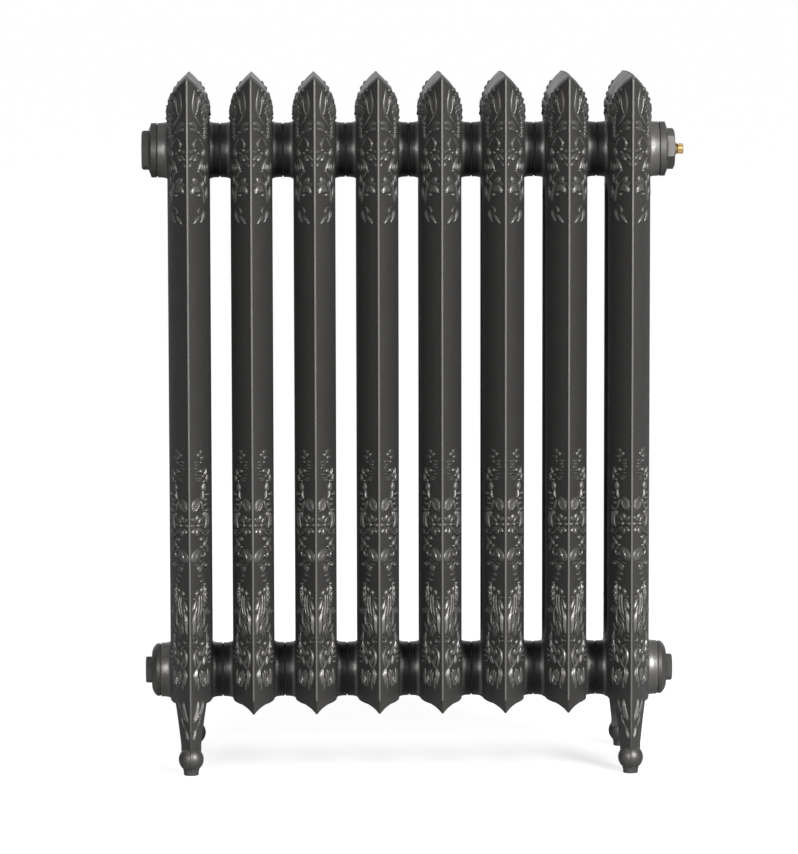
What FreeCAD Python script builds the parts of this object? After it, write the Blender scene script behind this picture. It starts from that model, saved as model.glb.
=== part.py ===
import FreeCAD, Part
import math
import os

# Ornamental two-column cast iron radiator, eight sections long, in millimetres.
# +X runs along the row of sections, -Y is the front, +Z is up, and z = 0 is the floor.
# x = 0 is the middle of the overall length and y = 0 is the middle of the depth.

# Overall driving dimensions
SECTION_COUNT = 8
PITCH = 71.4               # section centre to section centre
TOP_HEIGHT = 794.0         # floor to the highest point of the arched tops
HALF_DEPTH = 100.0         # middle of the depth to the column ridge
COLUMN_HALF_WIDTH = 23.7   # half the width of a column at its widest
WALL = 4.5                 # iron wall round the waterway

# Column plan
WIDEST_FROM_MIDDLE = 34.4  # y at which the columns reach their full width
SLOT_HALF = 14.0           # half the narrowest gap between the two columns
BEAD_WIDTH = 1.8           # raised bead along each ridge
BEAD_HEIGHT = 0.8

# Heights
UPPER_HUB_FROM_TOP = 89.0
UNDERSIDE_Z = 79.0         # flat underside of the bottom chamber
LOWER_HUB_ABOVE = 28.0     # lower hub centre above the underside
BEAK_DROP = 8.1            # how far the beaks hang below the underside
BEAK_HALF_WIDTH = 13.0
BEAK_TIP_HALF = 1.2
BEAK_DEPTH = 26.0
BEAK_HOLLOW = 0.44         # share of the drop reached half way along a beak's sides
SLOT_CLEAR_OF_HUB = 8.0    # iron between a hub and the end of the slot

# Arched top
ARCH_RISE = 46.0           # spring line of the pointed arch to its point
ROOF_SAG = 4.5             # drop of the roof ridge from the middle to the front
ROOF_CORNER_RADIUS = 6.0

# Hubs, nipples and gaskets
HUB_RADIUS = 31.0
HUB_CHAMFER = 0.8
HUB_FILLET = 3.0
THREAD_RADIUS = 20.95      # outside radius of the 1 1/4 inch pipe thread
THREAD_CLEARANCE = 0.05    # threads are drawn as plain cylinders with this gap
NIPPLE_BORE_RADIUS = 16.0
NIPPLE_LENGTH = 40.0
NIPPLE_LUG_WIDTH = 5.0
NIPPLE_LUG_HEIGHT = 3.0
GASKET_THICKNESS = 1.1
GASKET_RECESS = 1.5        # gasket edge inside the edge of the hub face
GASKET_CLEARANCE = 0.35    # gasket bore round the thread

# Legs, on the first and the last section
LEG_TOP_HALF = 17.6        # half-width just under the shoulder
LEG_SHOULDER = 9.0         # height of the concave shoulder above the underside
LEG_HOLLOW = 0.3           # how far the leg's sides curve in from a straight line
LEG_SHOULDER_HOLLOW = 1.0
LEG_BACK_CURVE = 0.22      # 0 keeps the back of the leg upright to the knee, 0.5 makes it straight
ANKLE_HALF = 11.35
ANKLE_Z = 33.0
ANKLE_REACH = 9.0          # the ankle blends this far up and runs this far into the ball
ANKLE_TUCK = 0.8           # how far the ridge tucks back at the ankle
TOE_TUCK = 3.0             # and at the ball
BALL_RADIUS = 14.2
BALL_Z = 18.0
BALL_FROM_RIDGE = 12.0     # ball centre behind the ridge
BALL_SEAM = 0.7            # seam standing out of the ball
PAD_RADIUS = 8.5
LEG_BACK_TOP = 50.0        # ridge to the back of the leg at the top
LEG_BACK_ANKLE = 23.0      # ridge to the back of the leg at the ankle

# Top plugs
PLUG_FLANGE = 6.0
PLUG_CONE = 3.0
PLUG_CONE_NARROWS = 8.0
PLUG_HEX_RADIUS = 23.5     # across corners, halved
PLUG_HEX = 8.0
PLUG_CORE_RADIUS = 15.0
PLUG_CORE_BOTTOM = 3.0     # core reaches this far past the gasket face
SPIGOT_LENGTH = 15.0
LEFT_PLUG_TURN = 15.0
RIGHT_PLUG_TURN = 18.5

# Bottom bushes
BUSH_FLANGE_INSET = 0.7    # bush flange smaller than the hub, on the radius
BUSH_RIM = 3.5
BUSH_DOME = 6.0
BUSH_DOME_TOP_RADIUS = 17.5
BUSH_DOME_ALONG = 0.72     # where the dome's curve passes, as shares of its rise and its narrowing
BUSH_DOME_IN = 0.4
BUSH_HEX_SUNK = 4.5        # the hexagon runs this far into the dome
BUSH_HEX_RADIUS = 15.9
BUSH_HEX = 7.0
TAPPING_RADIUS = 9.3       # 1/2 inch valve tapping
LEFT_BUSH_TURN = 20.0
RIGHT_BUSH_TURN = 38.0

# Air vent
VENT_THREAD_RADIUS = 4.8
VENT_THREAD_LENGTH = 12.0
VENT_BASE_RADIUS = 8.0
VENT_BASE_TOP_RADIUS = 5.9
VENT_BASE = 3.3
VENT_PASSAGE_RADIUS = 1.2
VENT_OUTLET_RADIUS = 0.8
SPINDLE_RADIUS = 3.4
SPINDLE_CLEARANCE = 0.05
SPINDLE_LENGTH = 8.0
SPINDLE_TIP = 1.5
SPINDLE_HEAD_RADIUS = 5.9
SPINDLE_HEAD = 6.7
SPINDLE_HEAD_GAP = 0.3
SPINDLE_CHAMFER = 0.8
SPINDLE_KEY = 4.2
SPINDLE_KEY_DEPTH = 4.0
FLUTE_COUNT = 16
FLUTE_RADIUS = 0.9
SEAL_GROOVE_RADIUS = 2.2
SEAL_WIRE_RADIUS = 0.55
SEAL_FROM_HEAD = 4.0

# Derived sizes
V = FreeCAD.Vector
X_AXIS = V(1, 0, 0)
Y_AXIS = V(0, 1, 0)
Z_AXIS = V(0, 0, 1)
UPPER_HUB_Z = TOP_HEIGHT - UPPER_HUB_FROM_TOP
LOWER_HUB_Z = UNDERSIDE_Z + LOWER_HUB_ABOVE
GASKET_RADIUS = HUB_RADIUS - GASKET_RECESS
GASKET_BORE_RADIUS = THREAD_RADIUS + GASKET_CLEARANCE
PLUG_REACH = GASKET_THICKNESS + PLUG_FLANGE + PLUG_CONE + PLUG_HEX
VENT_REACH = VENT_BASE + SPINDLE_HEAD_GAP + SPINDLE_HEAD
ROW_SHIFT = -VENT_REACH / 2
HUB_HALF = (PITCH - GASKET_THICKNESS) / 2
FACE_RADIUS = (COLUMN_HALF_WIDTH ** 2 + (HALF_DEPTH - WIDEST_FROM_MIDDLE) ** 2) / (2 * COLUMN_HALF_WIDTH)
ARCH_RADIUS = (COLUMN_HALF_WIDTH ** 2 + ARCH_RISE ** 2) / (2 * COLUMN_HALF_WIDTH)
SPRING_Z = TOP_HEIGHT - ARCH_RISE
ROOF_RADIUS = HALF_DEPTH ** 2 / (2 * ROOF_SAG)
SLOT_BOTTOM = LOWER_HUB_Z + HUB_RADIUS + SLOT_CLEAR_OF_HUB
SLOT_TOP = UPPER_HUB_Z - HUB_RADIUS - SLOT_CLEAR_OF_HUB
ROOF_BASE = UPPER_HUB_Z
BALL_Y = HALF_DEPTH - BALL_FROM_RIDGE
AWAY = 2 * (PITCH + HALF_DEPTH)   # well outside a section, for solids that only trim
END_FACE = SECTION_COUNT * PITCH / 2 - GASKET_THICKNESS / 2


def line(a, b):
    return Part.LineSegment(V(*a), V(*b)).toShape()


def arc(a, middle, b):
    return Part.Arc(V(*a), V(*middle), V(*b)).toShape()


def face(edges):
    return Part.Face(Part.Wire(edges))


def box(x0, x1, y0, y1, z0, z1):
    return Part.makeBox(x1 - x0, y1 - y0, z1 - z0, V(x0, y0, z0))


def rod(radius, x0, x1, y, z):
    """A cylinder along X."""
    return Part.makeCylinder(radius, x1 - x0, V(x0, y, z), X_AXIS)


def face_depth(x, inset):
    """Distance from the middle of the depth to the curved column face at a given x."""
    radius = FACE_RADIUS - inset
    return WIDEST_FROM_MIDDLE + math.sqrt(radius ** 2 - (x + FACE_RADIUS - COLUMN_HALF_WIDTH) ** 2)


def arch_height(x, inset):
    """Height of the pointed arch at a given x, in the middle of the depth."""
    radius = ARCH_RADIUS - inset
    return SPRING_Z + math.sqrt(radius ** 2 - (x + ARCH_RADIUS - COLUMN_HALF_WIDTH) ** 2)


def plan_prism(inset, z0, z1):
    """The whole section in plan: two ridges joined by four arcs and two straight sides."""
    side = COLUMN_HALF_WIDTH - inset
    ridge = face_depth(0, inset)
    half = face_depth(side / 2, inset)
    turn = WIDEST_FROM_MIDDLE
    edges = [
        arc((0, -ridge, z0), (side / 2, -half, z0), (side, -turn, z0)),
        line((side, -turn, z0), (side, turn, z0)),
        arc((side, turn, z0), (side / 2, half, z0), (0, ridge, z0)),
        arc((0, ridge, z0), (-side / 2, half, z0), (-side, turn, z0)),
        line((-side, turn, z0), (-side, -turn, z0)),
        arc((-side, -turn, z0), (-side / 2, -half, z0), (0, -ridge, z0)),
    ]
    return face(edges).extrude(V(0, 0, z1 - z0))


def beaded_prism(z0, z1):
    """The plan prism with the thin raised bead along both ridges."""
    reach = HALF_DEPTH + BEAD_HEIGHT
    bead = box(-BEAD_WIDTH / 2, BEAD_WIDTH / 2, -reach, reach, z0, z1)
    return plan_prism(0, z0, z1).fuse(bead)


def roof(inset, bead):
    """The pointed arch swept on a long arc from front to back, from the upper hub upwards."""
    side = COLUMN_HALF_WIDTH - inset
    tip = BEAD_WIDTH / 2
    shoulder = arch_height(tip, inset)
    crown = shoulder + bead
    half = side / 2
    edges = [
        line((-side, 0, ROOF_BASE), (side, 0, ROOF_BASE)),
        line((side, 0, ROOF_BASE), (side, 0, SPRING_Z)),
        arc((side, 0, SPRING_Z), (half, 0, arch_height(half, inset)), (tip, 0, shoulder)),
    ]
    if bead:
        edges.append(line((tip, 0, shoulder), (tip, 0, crown)))
    edges.append(line((tip, 0, crown), (-tip, 0, crown)))
    if bead:
        edges.append(line((-tip, 0, crown), (-tip, 0, shoulder)))
    edges.append(arc((-tip, 0, shoulder), (-half, 0, arch_height(half, inset)), (-side, 0, SPRING_Z)))
    edges.append(line((-side, 0, SPRING_Z), (-side, 0, ROOF_BASE)))
    centre = V(0, 0, TOP_HEIGHT - ROOF_RADIUS)
    swing = math.degrees(math.asin((HALF_DEPTH + 2 * WALL) / (ROOF_BASE - centre.z)))
    profile = face(edges)
    profile.rotate(centre, X_AXIS, -swing)
    return profile.revolve(centre, X_AXIS, 2 * swing)


def roof_corner(sign):
    """The sharp corner that is rounded away where a roof ridge meets a column ridge."""
    reach = sign * (HALF_DEPTH + BEAD_HEIGHT)
    inner = reach - sign * ROOF_CORNER_RADIUS
    height = TOP_HEIGHT - ROOF_SAG - ROOF_CORNER_RADIUS
    low = min(inner, reach + sign)
    high = max(inner, reach + sign)
    side = COLUMN_HALF_WIDTH
    block = box(-side, side, low, high, height, TOP_HEIGHT + ROOF_CORNER_RADIUS)
    return block.cut(rod(ROOF_CORNER_RADIUS, -side, side, inner, height))


def slot(outset):
    """The open slot between the two columns, with rounded ends."""
    side = COLUMN_HALF_WIDTH + WALL
    turn = WIDEST_FROM_MIDDLE
    across = COLUMN_HALF_WIDTH - outset
    along = turn - SLOT_HALF - outset
    z0 = SLOT_BOTTOM - outset
    z1 = SLOT_TOP + outset
    gap = box(-side, side, -turn, turn, z0, z1)
    for sign in (-1, 1):
        middle = V(0, sign * turn, z0)
        if across > along:
            curve = Part.Ellipse(middle + V(across, 0, 0), middle + V(0, along, 0), middle)
        else:
            curve = Part.Ellipse(middle + V(0, along, 0), middle + V(across, 0, 0), middle)
        gap = gap.cut(face([curve.toShape()]).extrude(V(0, 0, z1 - z0)))
    radius = turn + outset
    ends = rod(radius, -side, side, 0, z0 + radius).fuse(rod(radius, -side, side, 0, z1 - radius))
    ends = ends.fuse(box(-side, side, -radius, radius, z0 + radius, z1 - radius))
    return gap.common(ends)


def envelope(inset, bead):
    """The outside of a section, or its waterway when inset by the wall."""
    lower = plan_prism(inset, UNDERSIDE_Z + inset, ROOF_BASE + WALL)
    upper = plan_prism(inset, ROOF_BASE + WALL, TOP_HEIGHT + WALL)
    if bead:
        lower = beaded_prism(UNDERSIDE_Z, ROOF_BASE + WALL)
        upper = beaded_prism(ROOF_BASE + WALL, TOP_HEIGHT + WALL)
    body = lower.fuse(upper.common(roof(inset, bead)))
    return body.cut(slot(inset))


def hub(z):
    """A boss that joins two sections, with chamfered faces and a filleted root."""
    side = COLUMN_HALF_WIDTH
    boss = rod(HUB_RADIUS, -HUB_HALF, HUB_HALF, 0, z)
    boss = boss.makeChamfer(HUB_CHAMFER, [e for e in boss.Edges if e.Curve.TypeId == "Part::GeomCircle"])
    for sign in (-1, 1):
        root = HUB_RADIUS + HUB_FILLET
        bend = HUB_FILLET * (1 - math.sqrt(0.5))
        inner = sign * (side - WALL / 2)
        outer = sign * (side + HUB_FILLET)
        edges = [
            line((inner, 0, z + HUB_RADIUS / 2), (inner, 0, z + root)),
            line((inner, 0, z + root), (sign * side, 0, z + root)),
            arc((sign * side, 0, z + root), (sign * (side + bend), 0, z + HUB_RADIUS + bend),
                (outer, 0, z + HUB_RADIUS)),
            line((outer, 0, z + HUB_RADIUS), (outer, 0, z + HUB_RADIUS / 2)),
            line((outer, 0, z + HUB_RADIUS / 2), (inner, 0, z + HUB_RADIUS / 2)),
        ]
        flare = face(edges).revolve(V(0, 0, z), X_AXIS, 360)
        floor = box(-PITCH, PITCH, -PITCH, PITCH, UNDERSIDE_Z, TOP_HEIGHT)
        boss = boss.fuse(flare.common(floor))
    return boss


def beak(sign):
    """The small hooked point that hangs under a ridge of the bottom chamber."""
    top = UNDERSIDE_Z + WALL
    low = UNDERSIDE_Z - BEAK_DROP
    middle = (BEAK_HALF_WIDTH + BEAK_TIP_HALF) / 2
    bend = UNDERSIDE_Z - BEAK_DROP * BEAK_HOLLOW
    front = face([
        line((-BEAK_HALF_WIDTH, -AWAY, top), (BEAK_HALF_WIDTH, -AWAY, top)),
        line((BEAK_HALF_WIDTH, -AWAY, top), (BEAK_HALF_WIDTH, -AWAY, UNDERSIDE_Z)),
        arc((BEAK_HALF_WIDTH, -AWAY, UNDERSIDE_Z), (middle, -AWAY, bend),
            (BEAK_TIP_HALF, -AWAY, low)),
        line((BEAK_TIP_HALF, -AWAY, low), (-BEAK_TIP_HALF, -AWAY, low)),
        arc((-BEAK_TIP_HALF, -AWAY, low), (-middle, -AWAY, bend),
            (-BEAK_HALF_WIDTH, -AWAY, UNDERSIDE_Z)),
        line((-BEAK_HALF_WIDTH, -AWAY, UNDERSIDE_Z), (-BEAK_HALF_WIDTH, -AWAY, top)),
    ]).extrude(V(0, 2 * AWAY, 0))
    reach = HALF_DEPTH + BEAD_HEIGHT
    back = reach - BEAK_DEPTH
    half = (reach + back) / 2
    side = COLUMN_HALF_WIDTH
    hook = face([
        line((-side, sign * reach, top), (-side, sign * reach, low)),
        line((-side, sign * reach, low), (-side, sign * (reach - BEAD_WIDTH), low)),
        arc((-side, sign * (reach - BEAD_WIDTH), low), (-side, sign * half, bend),
            (-side, sign * back, UNDERSIDE_Z)),
        line((-side, sign * back, UNDERSIDE_Z), (-side, sign * back, top)),
        line((-side, sign * back, top), (-side, sign * reach, top)),
    ]).extrude(V(2 * side, 0, 0))
    return beaded_prism(low, top).common(front).common(hook)


def leg(sign):
    """A cabriole leg that follows the column ridge down to a ball foot."""
    top = UNDERSIDE_Z + LEG_SHOULDER
    low = ANKLE_Z - ANKLE_REACH
    side = COLUMN_HALF_WIDTH
    away = -AWAY
    calf = (LEG_TOP_HALF + ANKLE_HALF) / 2 - LEG_HOLLOW
    shoulder = (side + LEG_TOP_HALF) / 2 - LEG_SHOULDER_HOLLOW
    right = [
        arc((side, away, top), (shoulder, away, top - LEG_SHOULDER / 2), (LEG_TOP_HALF, away, UNDERSIDE_Z)),
        arc((LEG_TOP_HALF, away, UNDERSIDE_Z), (calf, away, (UNDERSIDE_Z + ANKLE_Z) / 2),
            (ANKLE_HALF, away, ANKLE_Z)),
        line((ANKLE_HALF, away, ANKLE_Z), (ANKLE_HALF, away, low)),
    ]
    left = [edge.mirror(V(0, 0, 0), X_AXIS) for edge in reversed(right)]
    across_top = line((-side, away, top), (side, away, top))
    across_ankle = line((ANKLE_HALF, away, low), (-ANKLE_HALF, away, low))
    front = face([across_top] + right + [across_ankle] + left).extrude(V(0, 2 * AWAY, 0))
    reach = HALF_DEPTH + BEAD_HEIGHT
    toe = HALF_DEPTH - LEG_BACK_ANKLE
    heel = HALF_DEPTH - LEG_BACK_TOP
    knee = (ANKLE_Z + UNDERSIDE_Z) / 2
    bend = toe + (heel - toe) * LEG_BACK_CURVE
    profile = face([
        line((-side, sign * reach, top), (-side, sign * reach, ANKLE_Z + ANKLE_REACH)),
        arc((-side, sign * reach, ANKLE_Z + ANKLE_REACH), (-side, sign * (reach - ANKLE_TUCK), ANKLE_Z),
            (-side, sign * (reach - TOE_TUCK), low)),
        line((-side, sign * (reach - TOE_TUCK), low), (-side, sign * toe, low)),
        arc((-side, sign * toe, low), (-side, sign * bend, knee),
            (-side, sign * heel, UNDERSIDE_Z + BEAD_HEIGHT)),
        line((-side, sign * heel, UNDERSIDE_Z + BEAD_HEIGHT), (-side, sign * heel, top)),
        line((-side, sign * heel, top), (-side, sign * reach, top)),
    ]).extrude(V(2 * side, 0, 0))
    shank = beaded_prism(low, top).common(front).common(profile)
    ball = Part.makeSphere(BALL_RADIUS, V(0, sign * BALL_Y, BALL_Z))
    seam = rod(BALL_RADIUS + BALL_SEAM, -BEAD_WIDTH / 2, BEAD_WIDTH / 2, sign * BALL_Y, BALL_Z)
    pad = Part.makeCylinder(PAD_RADIUS, BALL_Z, V(0, sign * BALL_Y, 0))
    return shank.fuse([ball, seam, pad])


def section(with_legs):
    """One hollow cast section: two columns, two chambers, two hubs, and legs or beaks."""
    body = envelope(0, BEAD_HEIGHT)
    for sign in (-1, 1):
        body = body.cut(roof_corner(sign))
        body = body.fuse(leg(sign) if with_legs else beak(sign))
    body = body.fuse([hub(UPPER_HUB_Z), hub(LOWER_HUB_Z)])
    waterway = envelope(WALL, 0)
    bore = THREAD_RADIUS + THREAD_CLEARANCE
    for z in (UPPER_HUB_Z, LOWER_HUB_Z):
        waterway = waterway.fuse(rod(bore, -PITCH, PITCH, 0, z))
    return body.cut(waterway).removeSplitter()


def nipple():
    """A right and left hand threaded barrel nipple, with two lugs for its key."""
    half = NIPPLE_LENGTH / 2
    tube = rod(THREAD_RADIUS, -half, half, 0, 0).cut(rod(NIPPLE_BORE_RADIUS, -half, half, 0, 0))
    reach = (NIPPLE_BORE_RADIUS + THREAD_RADIUS) / 2
    inner = NIPPLE_BORE_RADIUS - NIPPLE_LUG_HEIGHT
    for sign in (-1, 1):
        low = min(sign * inner, sign * reach)
        high = max(sign * inner, sign * reach)
        tube = tube.fuse(box(-half, half, -NIPPLE_LUG_WIDTH / 2, NIPPLE_LUG_WIDTH / 2, low, high))
    return tube.removeSplitter()


def gasket():
    half = GASKET_THICKNESS / 2
    return rod(GASKET_RADIUS, -half, half, 0, 0).cut(rod(GASKET_BORE_RADIUS, -half, half, 0, 0))


def hexagon(radius, x0, x1, turn):
    """A hexagonal prism along X."""
    corners = []
    for i in range(7):
        angle = math.radians(turn + 60 * i)
        corners.append(V(x0, radius * math.cos(angle), radius * math.sin(angle)))
    return Part.Face(Part.makePolygon(corners)).extrude(V(x1 - x0, 0, 0))


def chamfered_hexagon(radius, x0, x1, turn):
    """A hexagonal prism whose outer corners are turned off at thirty degrees."""
    prism = hexagon(radius, x0, x1, turn)
    flat = radius * math.cos(math.radians(30))
    bevel = (radius - flat) * math.tan(math.radians(30))
    cone = Part.makeCone(radius, flat, bevel, V(x1 - bevel, 0, 0), X_AXIS)
    return prism.common(rod(radius, x0, x1 - bevel, 0, 0).fuse(cone))


def top_plug(turn, vented):
    """A blank plug on x = 0, its gasket face, with its head towards +X."""
    shoulder = PLUG_FLANGE + PLUG_CONE
    head = shoulder + PLUG_HEX
    top_radius = HUB_RADIUS - PLUG_CONE_NARROWS
    body = rod(HUB_RADIUS, 0, PLUG_FLANGE, 0, 0)
    body = body.fuse(Part.makeCone(HUB_RADIUS, top_radius, PLUG_CONE, V(PLUG_FLANGE, 0, 0), X_AXIS))
    body = body.fuse(chamfered_hexagon(PLUG_HEX_RADIUS, shoulder - PLUG_CONE / 2, head, turn))
    body = body.fuse(rod(THREAD_RADIUS, -SPIGOT_LENGTH, 0, 0, 0))
    body = body.cut(rod(PLUG_CORE_RADIUS, -SPIGOT_LENGTH, PLUG_CORE_BOTTOM, 0, 0))
    if vented:
        body = body.cut(rod(VENT_THREAD_RADIUS + THREAD_CLEARANCE, 0, head, 0, 0))
    return body.removeSplitter()


def bottom_bush(turn):
    """A reducing bush with a domed flange on x = 0, its gasket face, with its head towards +X."""
    shoulder = BUSH_RIM + BUSH_DOME
    head = shoulder + BUSH_HEX
    outer = HUB_RADIUS - BUSH_FLANGE_INSET
    inner = BUSH_DOME_TOP_RADIUS
    bend = (BUSH_RIM + BUSH_DOME * BUSH_DOME_ALONG, 0, outer - (outer - inner) * BUSH_DOME_IN)
    profile = face([
        line((0, 0, 0), (0, 0, outer)),
        line((0, 0, outer), (BUSH_RIM, 0, outer)),
        arc((BUSH_RIM, 0, outer), bend, (shoulder, 0, inner)),
        line((shoulder, 0, inner), (shoulder, 0, 0)),
        line((shoulder, 0, 0), (0, 0, 0)),
    ])
    body = profile.revolve(V(0, 0, 0), X_AXIS, 360)
    body = body.fuse(chamfered_hexagon(BUSH_HEX_RADIUS, shoulder - BUSH_HEX_SUNK, head, turn))
    body = body.fuse(rod(THREAD_RADIUS, -SPIGOT_LENGTH, 0, 0, 0))
    return body.cut(rod(TAPPING_RADIUS, -SPIGOT_LENGTH, head, 0, 0)).removeSplitter()


def vent_body():
    """The brass seat of the air vent, on x = 0, the face of the plug's hexagon."""
    bore = SPINDLE_RADIUS + SPINDLE_CLEARANCE
    seat = VENT_BASE - SPINDLE_LENGTH
    body = rod(VENT_THREAD_RADIUS, -VENT_THREAD_LENGTH, 0, 0, 0)
    body = body.fuse(Part.makeCone(VENT_BASE_RADIUS, VENT_BASE_TOP_RADIUS, VENT_BASE, V(0, 0, 0), X_AXIS))
    body = body.cut(rod(bore, seat, VENT_BASE, 0, 0))
    tip = Part.makeCone(VENT_PASSAGE_RADIUS, bore, SPINDLE_TIP, V(seat - SPINDLE_TIP, 0, 0), X_AXIS)
    body = body.cut(tip)
    body = body.cut(rod(VENT_PASSAGE_RADIUS, -VENT_THREAD_LENGTH, seat, 0, 0))
    outlet = Part.makeCylinder(VENT_OUTLET_RADIUS, VENT_BASE_RADIUS, V(VENT_BASE / 2, 0, -VENT_BASE_RADIUS))
    return body.cut(outlet).removeSplitter()


def vent_spindle():
    """The turning brass screw of the air vent, on x = 0, the face of its seat."""
    start = SPINDLE_HEAD_GAP
    head = start + SPINDLE_HEAD
    seat = SPINDLE_HEAD_GAP - SPINDLE_LENGTH
    body = rod(SPINDLE_HEAD_RADIUS, start, head, 0, 0)
    body = body.makeChamfer(SPINDLE_CHAMFER, [e for e in body.Edges if e.Curve.TypeId == "Part::GeomCircle"])
    for i in range(FLUTE_COUNT):
        angle = 2 * math.pi * i / FLUTE_COUNT
        reach = SPINDLE_HEAD_RADIUS + FLUTE_RADIUS / 2
        body = body.cut(rod(FLUTE_RADIUS, start, head, reach * math.cos(angle), reach * math.sin(angle)))
    key = SPINDLE_KEY / 2
    body = body.cut(box(head - SPINDLE_KEY_DEPTH, head, -key, key, -key, key))
    body = body.fuse(rod(SPINDLE_RADIUS, seat, start, 0, 0))
    tip = Part.makeCone(VENT_PASSAGE_RADIUS, SPINDLE_RADIUS, SPINDLE_TIP, V(seat - SPINDLE_TIP, 0, 0), X_AXIS)
    body = body.fuse(tip)
    width = SEAL_WIRE_RADIUS + SPINDLE_CLEARANCE
    groove = rod(SPINDLE_RADIUS, -SEAL_FROM_HEAD - width, -SEAL_FROM_HEAD + width, 0, 0)
    groove = groove.cut(rod(SEAL_GROOVE_RADIUS, -SEAL_FROM_HEAD - width, -SEAL_FROM_HEAD + width, 0, 0))
    return body.cut(groove).removeSplitter()


def vent_seal():
    """The rubber ring in the groove of the spindle."""
    middle = (SEAL_GROOVE_RADIUS + SPINDLE_RADIUS + SPINDLE_CLEARANCE) / 2
    return Part.makeTorus(middle, SEAL_WIRE_RADIUS, V(-SEAL_FROM_HEAD, 0, 0), X_AXIS)


def placed(shape, x, z, towards_left=False):
    """A copy of a piece, turned to face -X when asked, and moved to its place in the row."""
    piece = shape.copy()
    if towards_left:
        piece.rotate(V(0, 0, 0), Z_AXIS, 180)
    piece.translate(V(x + ROW_SHIFT, 0, z))
    return piece


def build():
    """Every node of the radiator, by name."""
    nodes = {}
    middle_section = section(False)
    leg_section = section(True)
    barrel = nipple()
    ring = gasket()
    for i in range(SECTION_COUNT):
        at_end = i in (0, SECTION_COUNT - 1)
        x = (i - (SECTION_COUNT - 1) / 2) * PITCH
        nodes["section_%d" % (i + 1)] = placed(leg_section if at_end else middle_section, x, 0)
    for i in range(1, SECTION_COUNT):
        x = (i - SECTION_COUNT / 2) * PITCH
        nodes["top_nipple_%d" % i] = placed(barrel, x, UPPER_HUB_Z)
        nodes["bottom_nipple_%d" % i] = placed(barrel, x, LOWER_HUB_Z)
        nodes["top_gasket_%d" % i] = placed(ring, x, UPPER_HUB_Z)
        nodes["bottom_gasket_%d" % i] = placed(ring, x, LOWER_HUB_Z)
    for side, sign in (("left", -1), ("right", 1)):
        x = sign * (END_FACE + GASKET_THICKNESS / 2)
        nodes["top_%s_plug_gasket" % side] = placed(ring, x, UPPER_HUB_Z)
        nodes["bottom_%s_bush_gasket" % side] = placed(ring, x, LOWER_HUB_Z)
    face_x = END_FACE + GASKET_THICKNESS
    nodes["top_left_plug"] = placed(top_plug(LEFT_PLUG_TURN, False), -face_x, UPPER_HUB_Z, True)
    nodes["top_right_plug"] = placed(top_plug(RIGHT_PLUG_TURN, True), face_x, UPPER_HUB_Z)
    nodes["bottom_left_bush"] = placed(bottom_bush(LEFT_BUSH_TURN), -face_x, LOWER_HUB_Z, True)
    nodes["bottom_right_bush"] = placed(bottom_bush(RIGHT_BUSH_TURN), face_x, LOWER_HUB_Z)
    vent_x = END_FACE + PLUG_REACH
    nodes["vent_body"] = placed(vent_body(), vent_x, UPPER_HUB_Z)
    nodes["vent_spindle"] = placed(vent_spindle(), vent_x + VENT_BASE, UPPER_HUB_Z)
    nodes["vent_seal"] = placed(vent_seal(), vent_x + VENT_BASE, UPPER_HUB_Z)
    return nodes


os.makedirs("parts", exist_ok=True)
for name, shape in build().items():
    solid = shape.Solids[0] if len(shape.Solids) == 1 else shape
    print(name, "solids", len(shape.Solids), "valid", solid.isValid(), "volume %.0f" % solid.Volume)
    solid.exportStep(os.path.join("parts", name + ".step"))
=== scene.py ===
"""Looks of an ornamental two-column cast iron radiator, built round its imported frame."""
from __future__ import annotations

import logging
import math
from dataclasses import dataclass, field
from enum import Enum
from typing import Sequence

import bpy
from mathutils import Matrix, Vector

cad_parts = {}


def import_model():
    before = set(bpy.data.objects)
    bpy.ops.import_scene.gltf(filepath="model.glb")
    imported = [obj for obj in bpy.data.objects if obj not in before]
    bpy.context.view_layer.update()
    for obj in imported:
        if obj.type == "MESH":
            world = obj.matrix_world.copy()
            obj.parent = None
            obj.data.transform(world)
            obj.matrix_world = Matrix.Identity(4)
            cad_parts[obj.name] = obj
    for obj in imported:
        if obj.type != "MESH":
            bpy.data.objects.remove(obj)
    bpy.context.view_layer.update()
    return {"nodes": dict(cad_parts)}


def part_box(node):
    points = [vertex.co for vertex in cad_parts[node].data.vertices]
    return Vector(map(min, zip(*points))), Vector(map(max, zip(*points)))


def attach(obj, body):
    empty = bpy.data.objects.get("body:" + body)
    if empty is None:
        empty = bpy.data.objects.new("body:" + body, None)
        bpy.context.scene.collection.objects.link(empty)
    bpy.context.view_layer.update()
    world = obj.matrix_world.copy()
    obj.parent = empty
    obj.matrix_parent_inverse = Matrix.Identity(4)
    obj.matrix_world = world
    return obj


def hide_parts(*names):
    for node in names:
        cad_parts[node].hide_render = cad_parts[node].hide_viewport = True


logging.basicConfig(level=logging.INFO, format="%(message)s")
log = logging.getLogger("radiator")

MILLI = 0.001
Point = tuple[float, float]


# ---------------------------------------------------------------- modelling helpers


def clear_selection() -> None:
    """Leave object mode with nothing selected."""
    if bpy.context.mode != "OBJECT":
        bpy.ops.object.mode_set(mode="OBJECT")
    bpy.ops.object.select_all(action="DESELECT")


def make_active(piece: bpy.types.Object) -> None:
    """Select one object alone and make it the active one.

    Args:
        piece: The object to work on.
    """
    clear_selection()
    piece.select_set(True)
    bpy.context.view_layer.objects.active = piece


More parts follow.
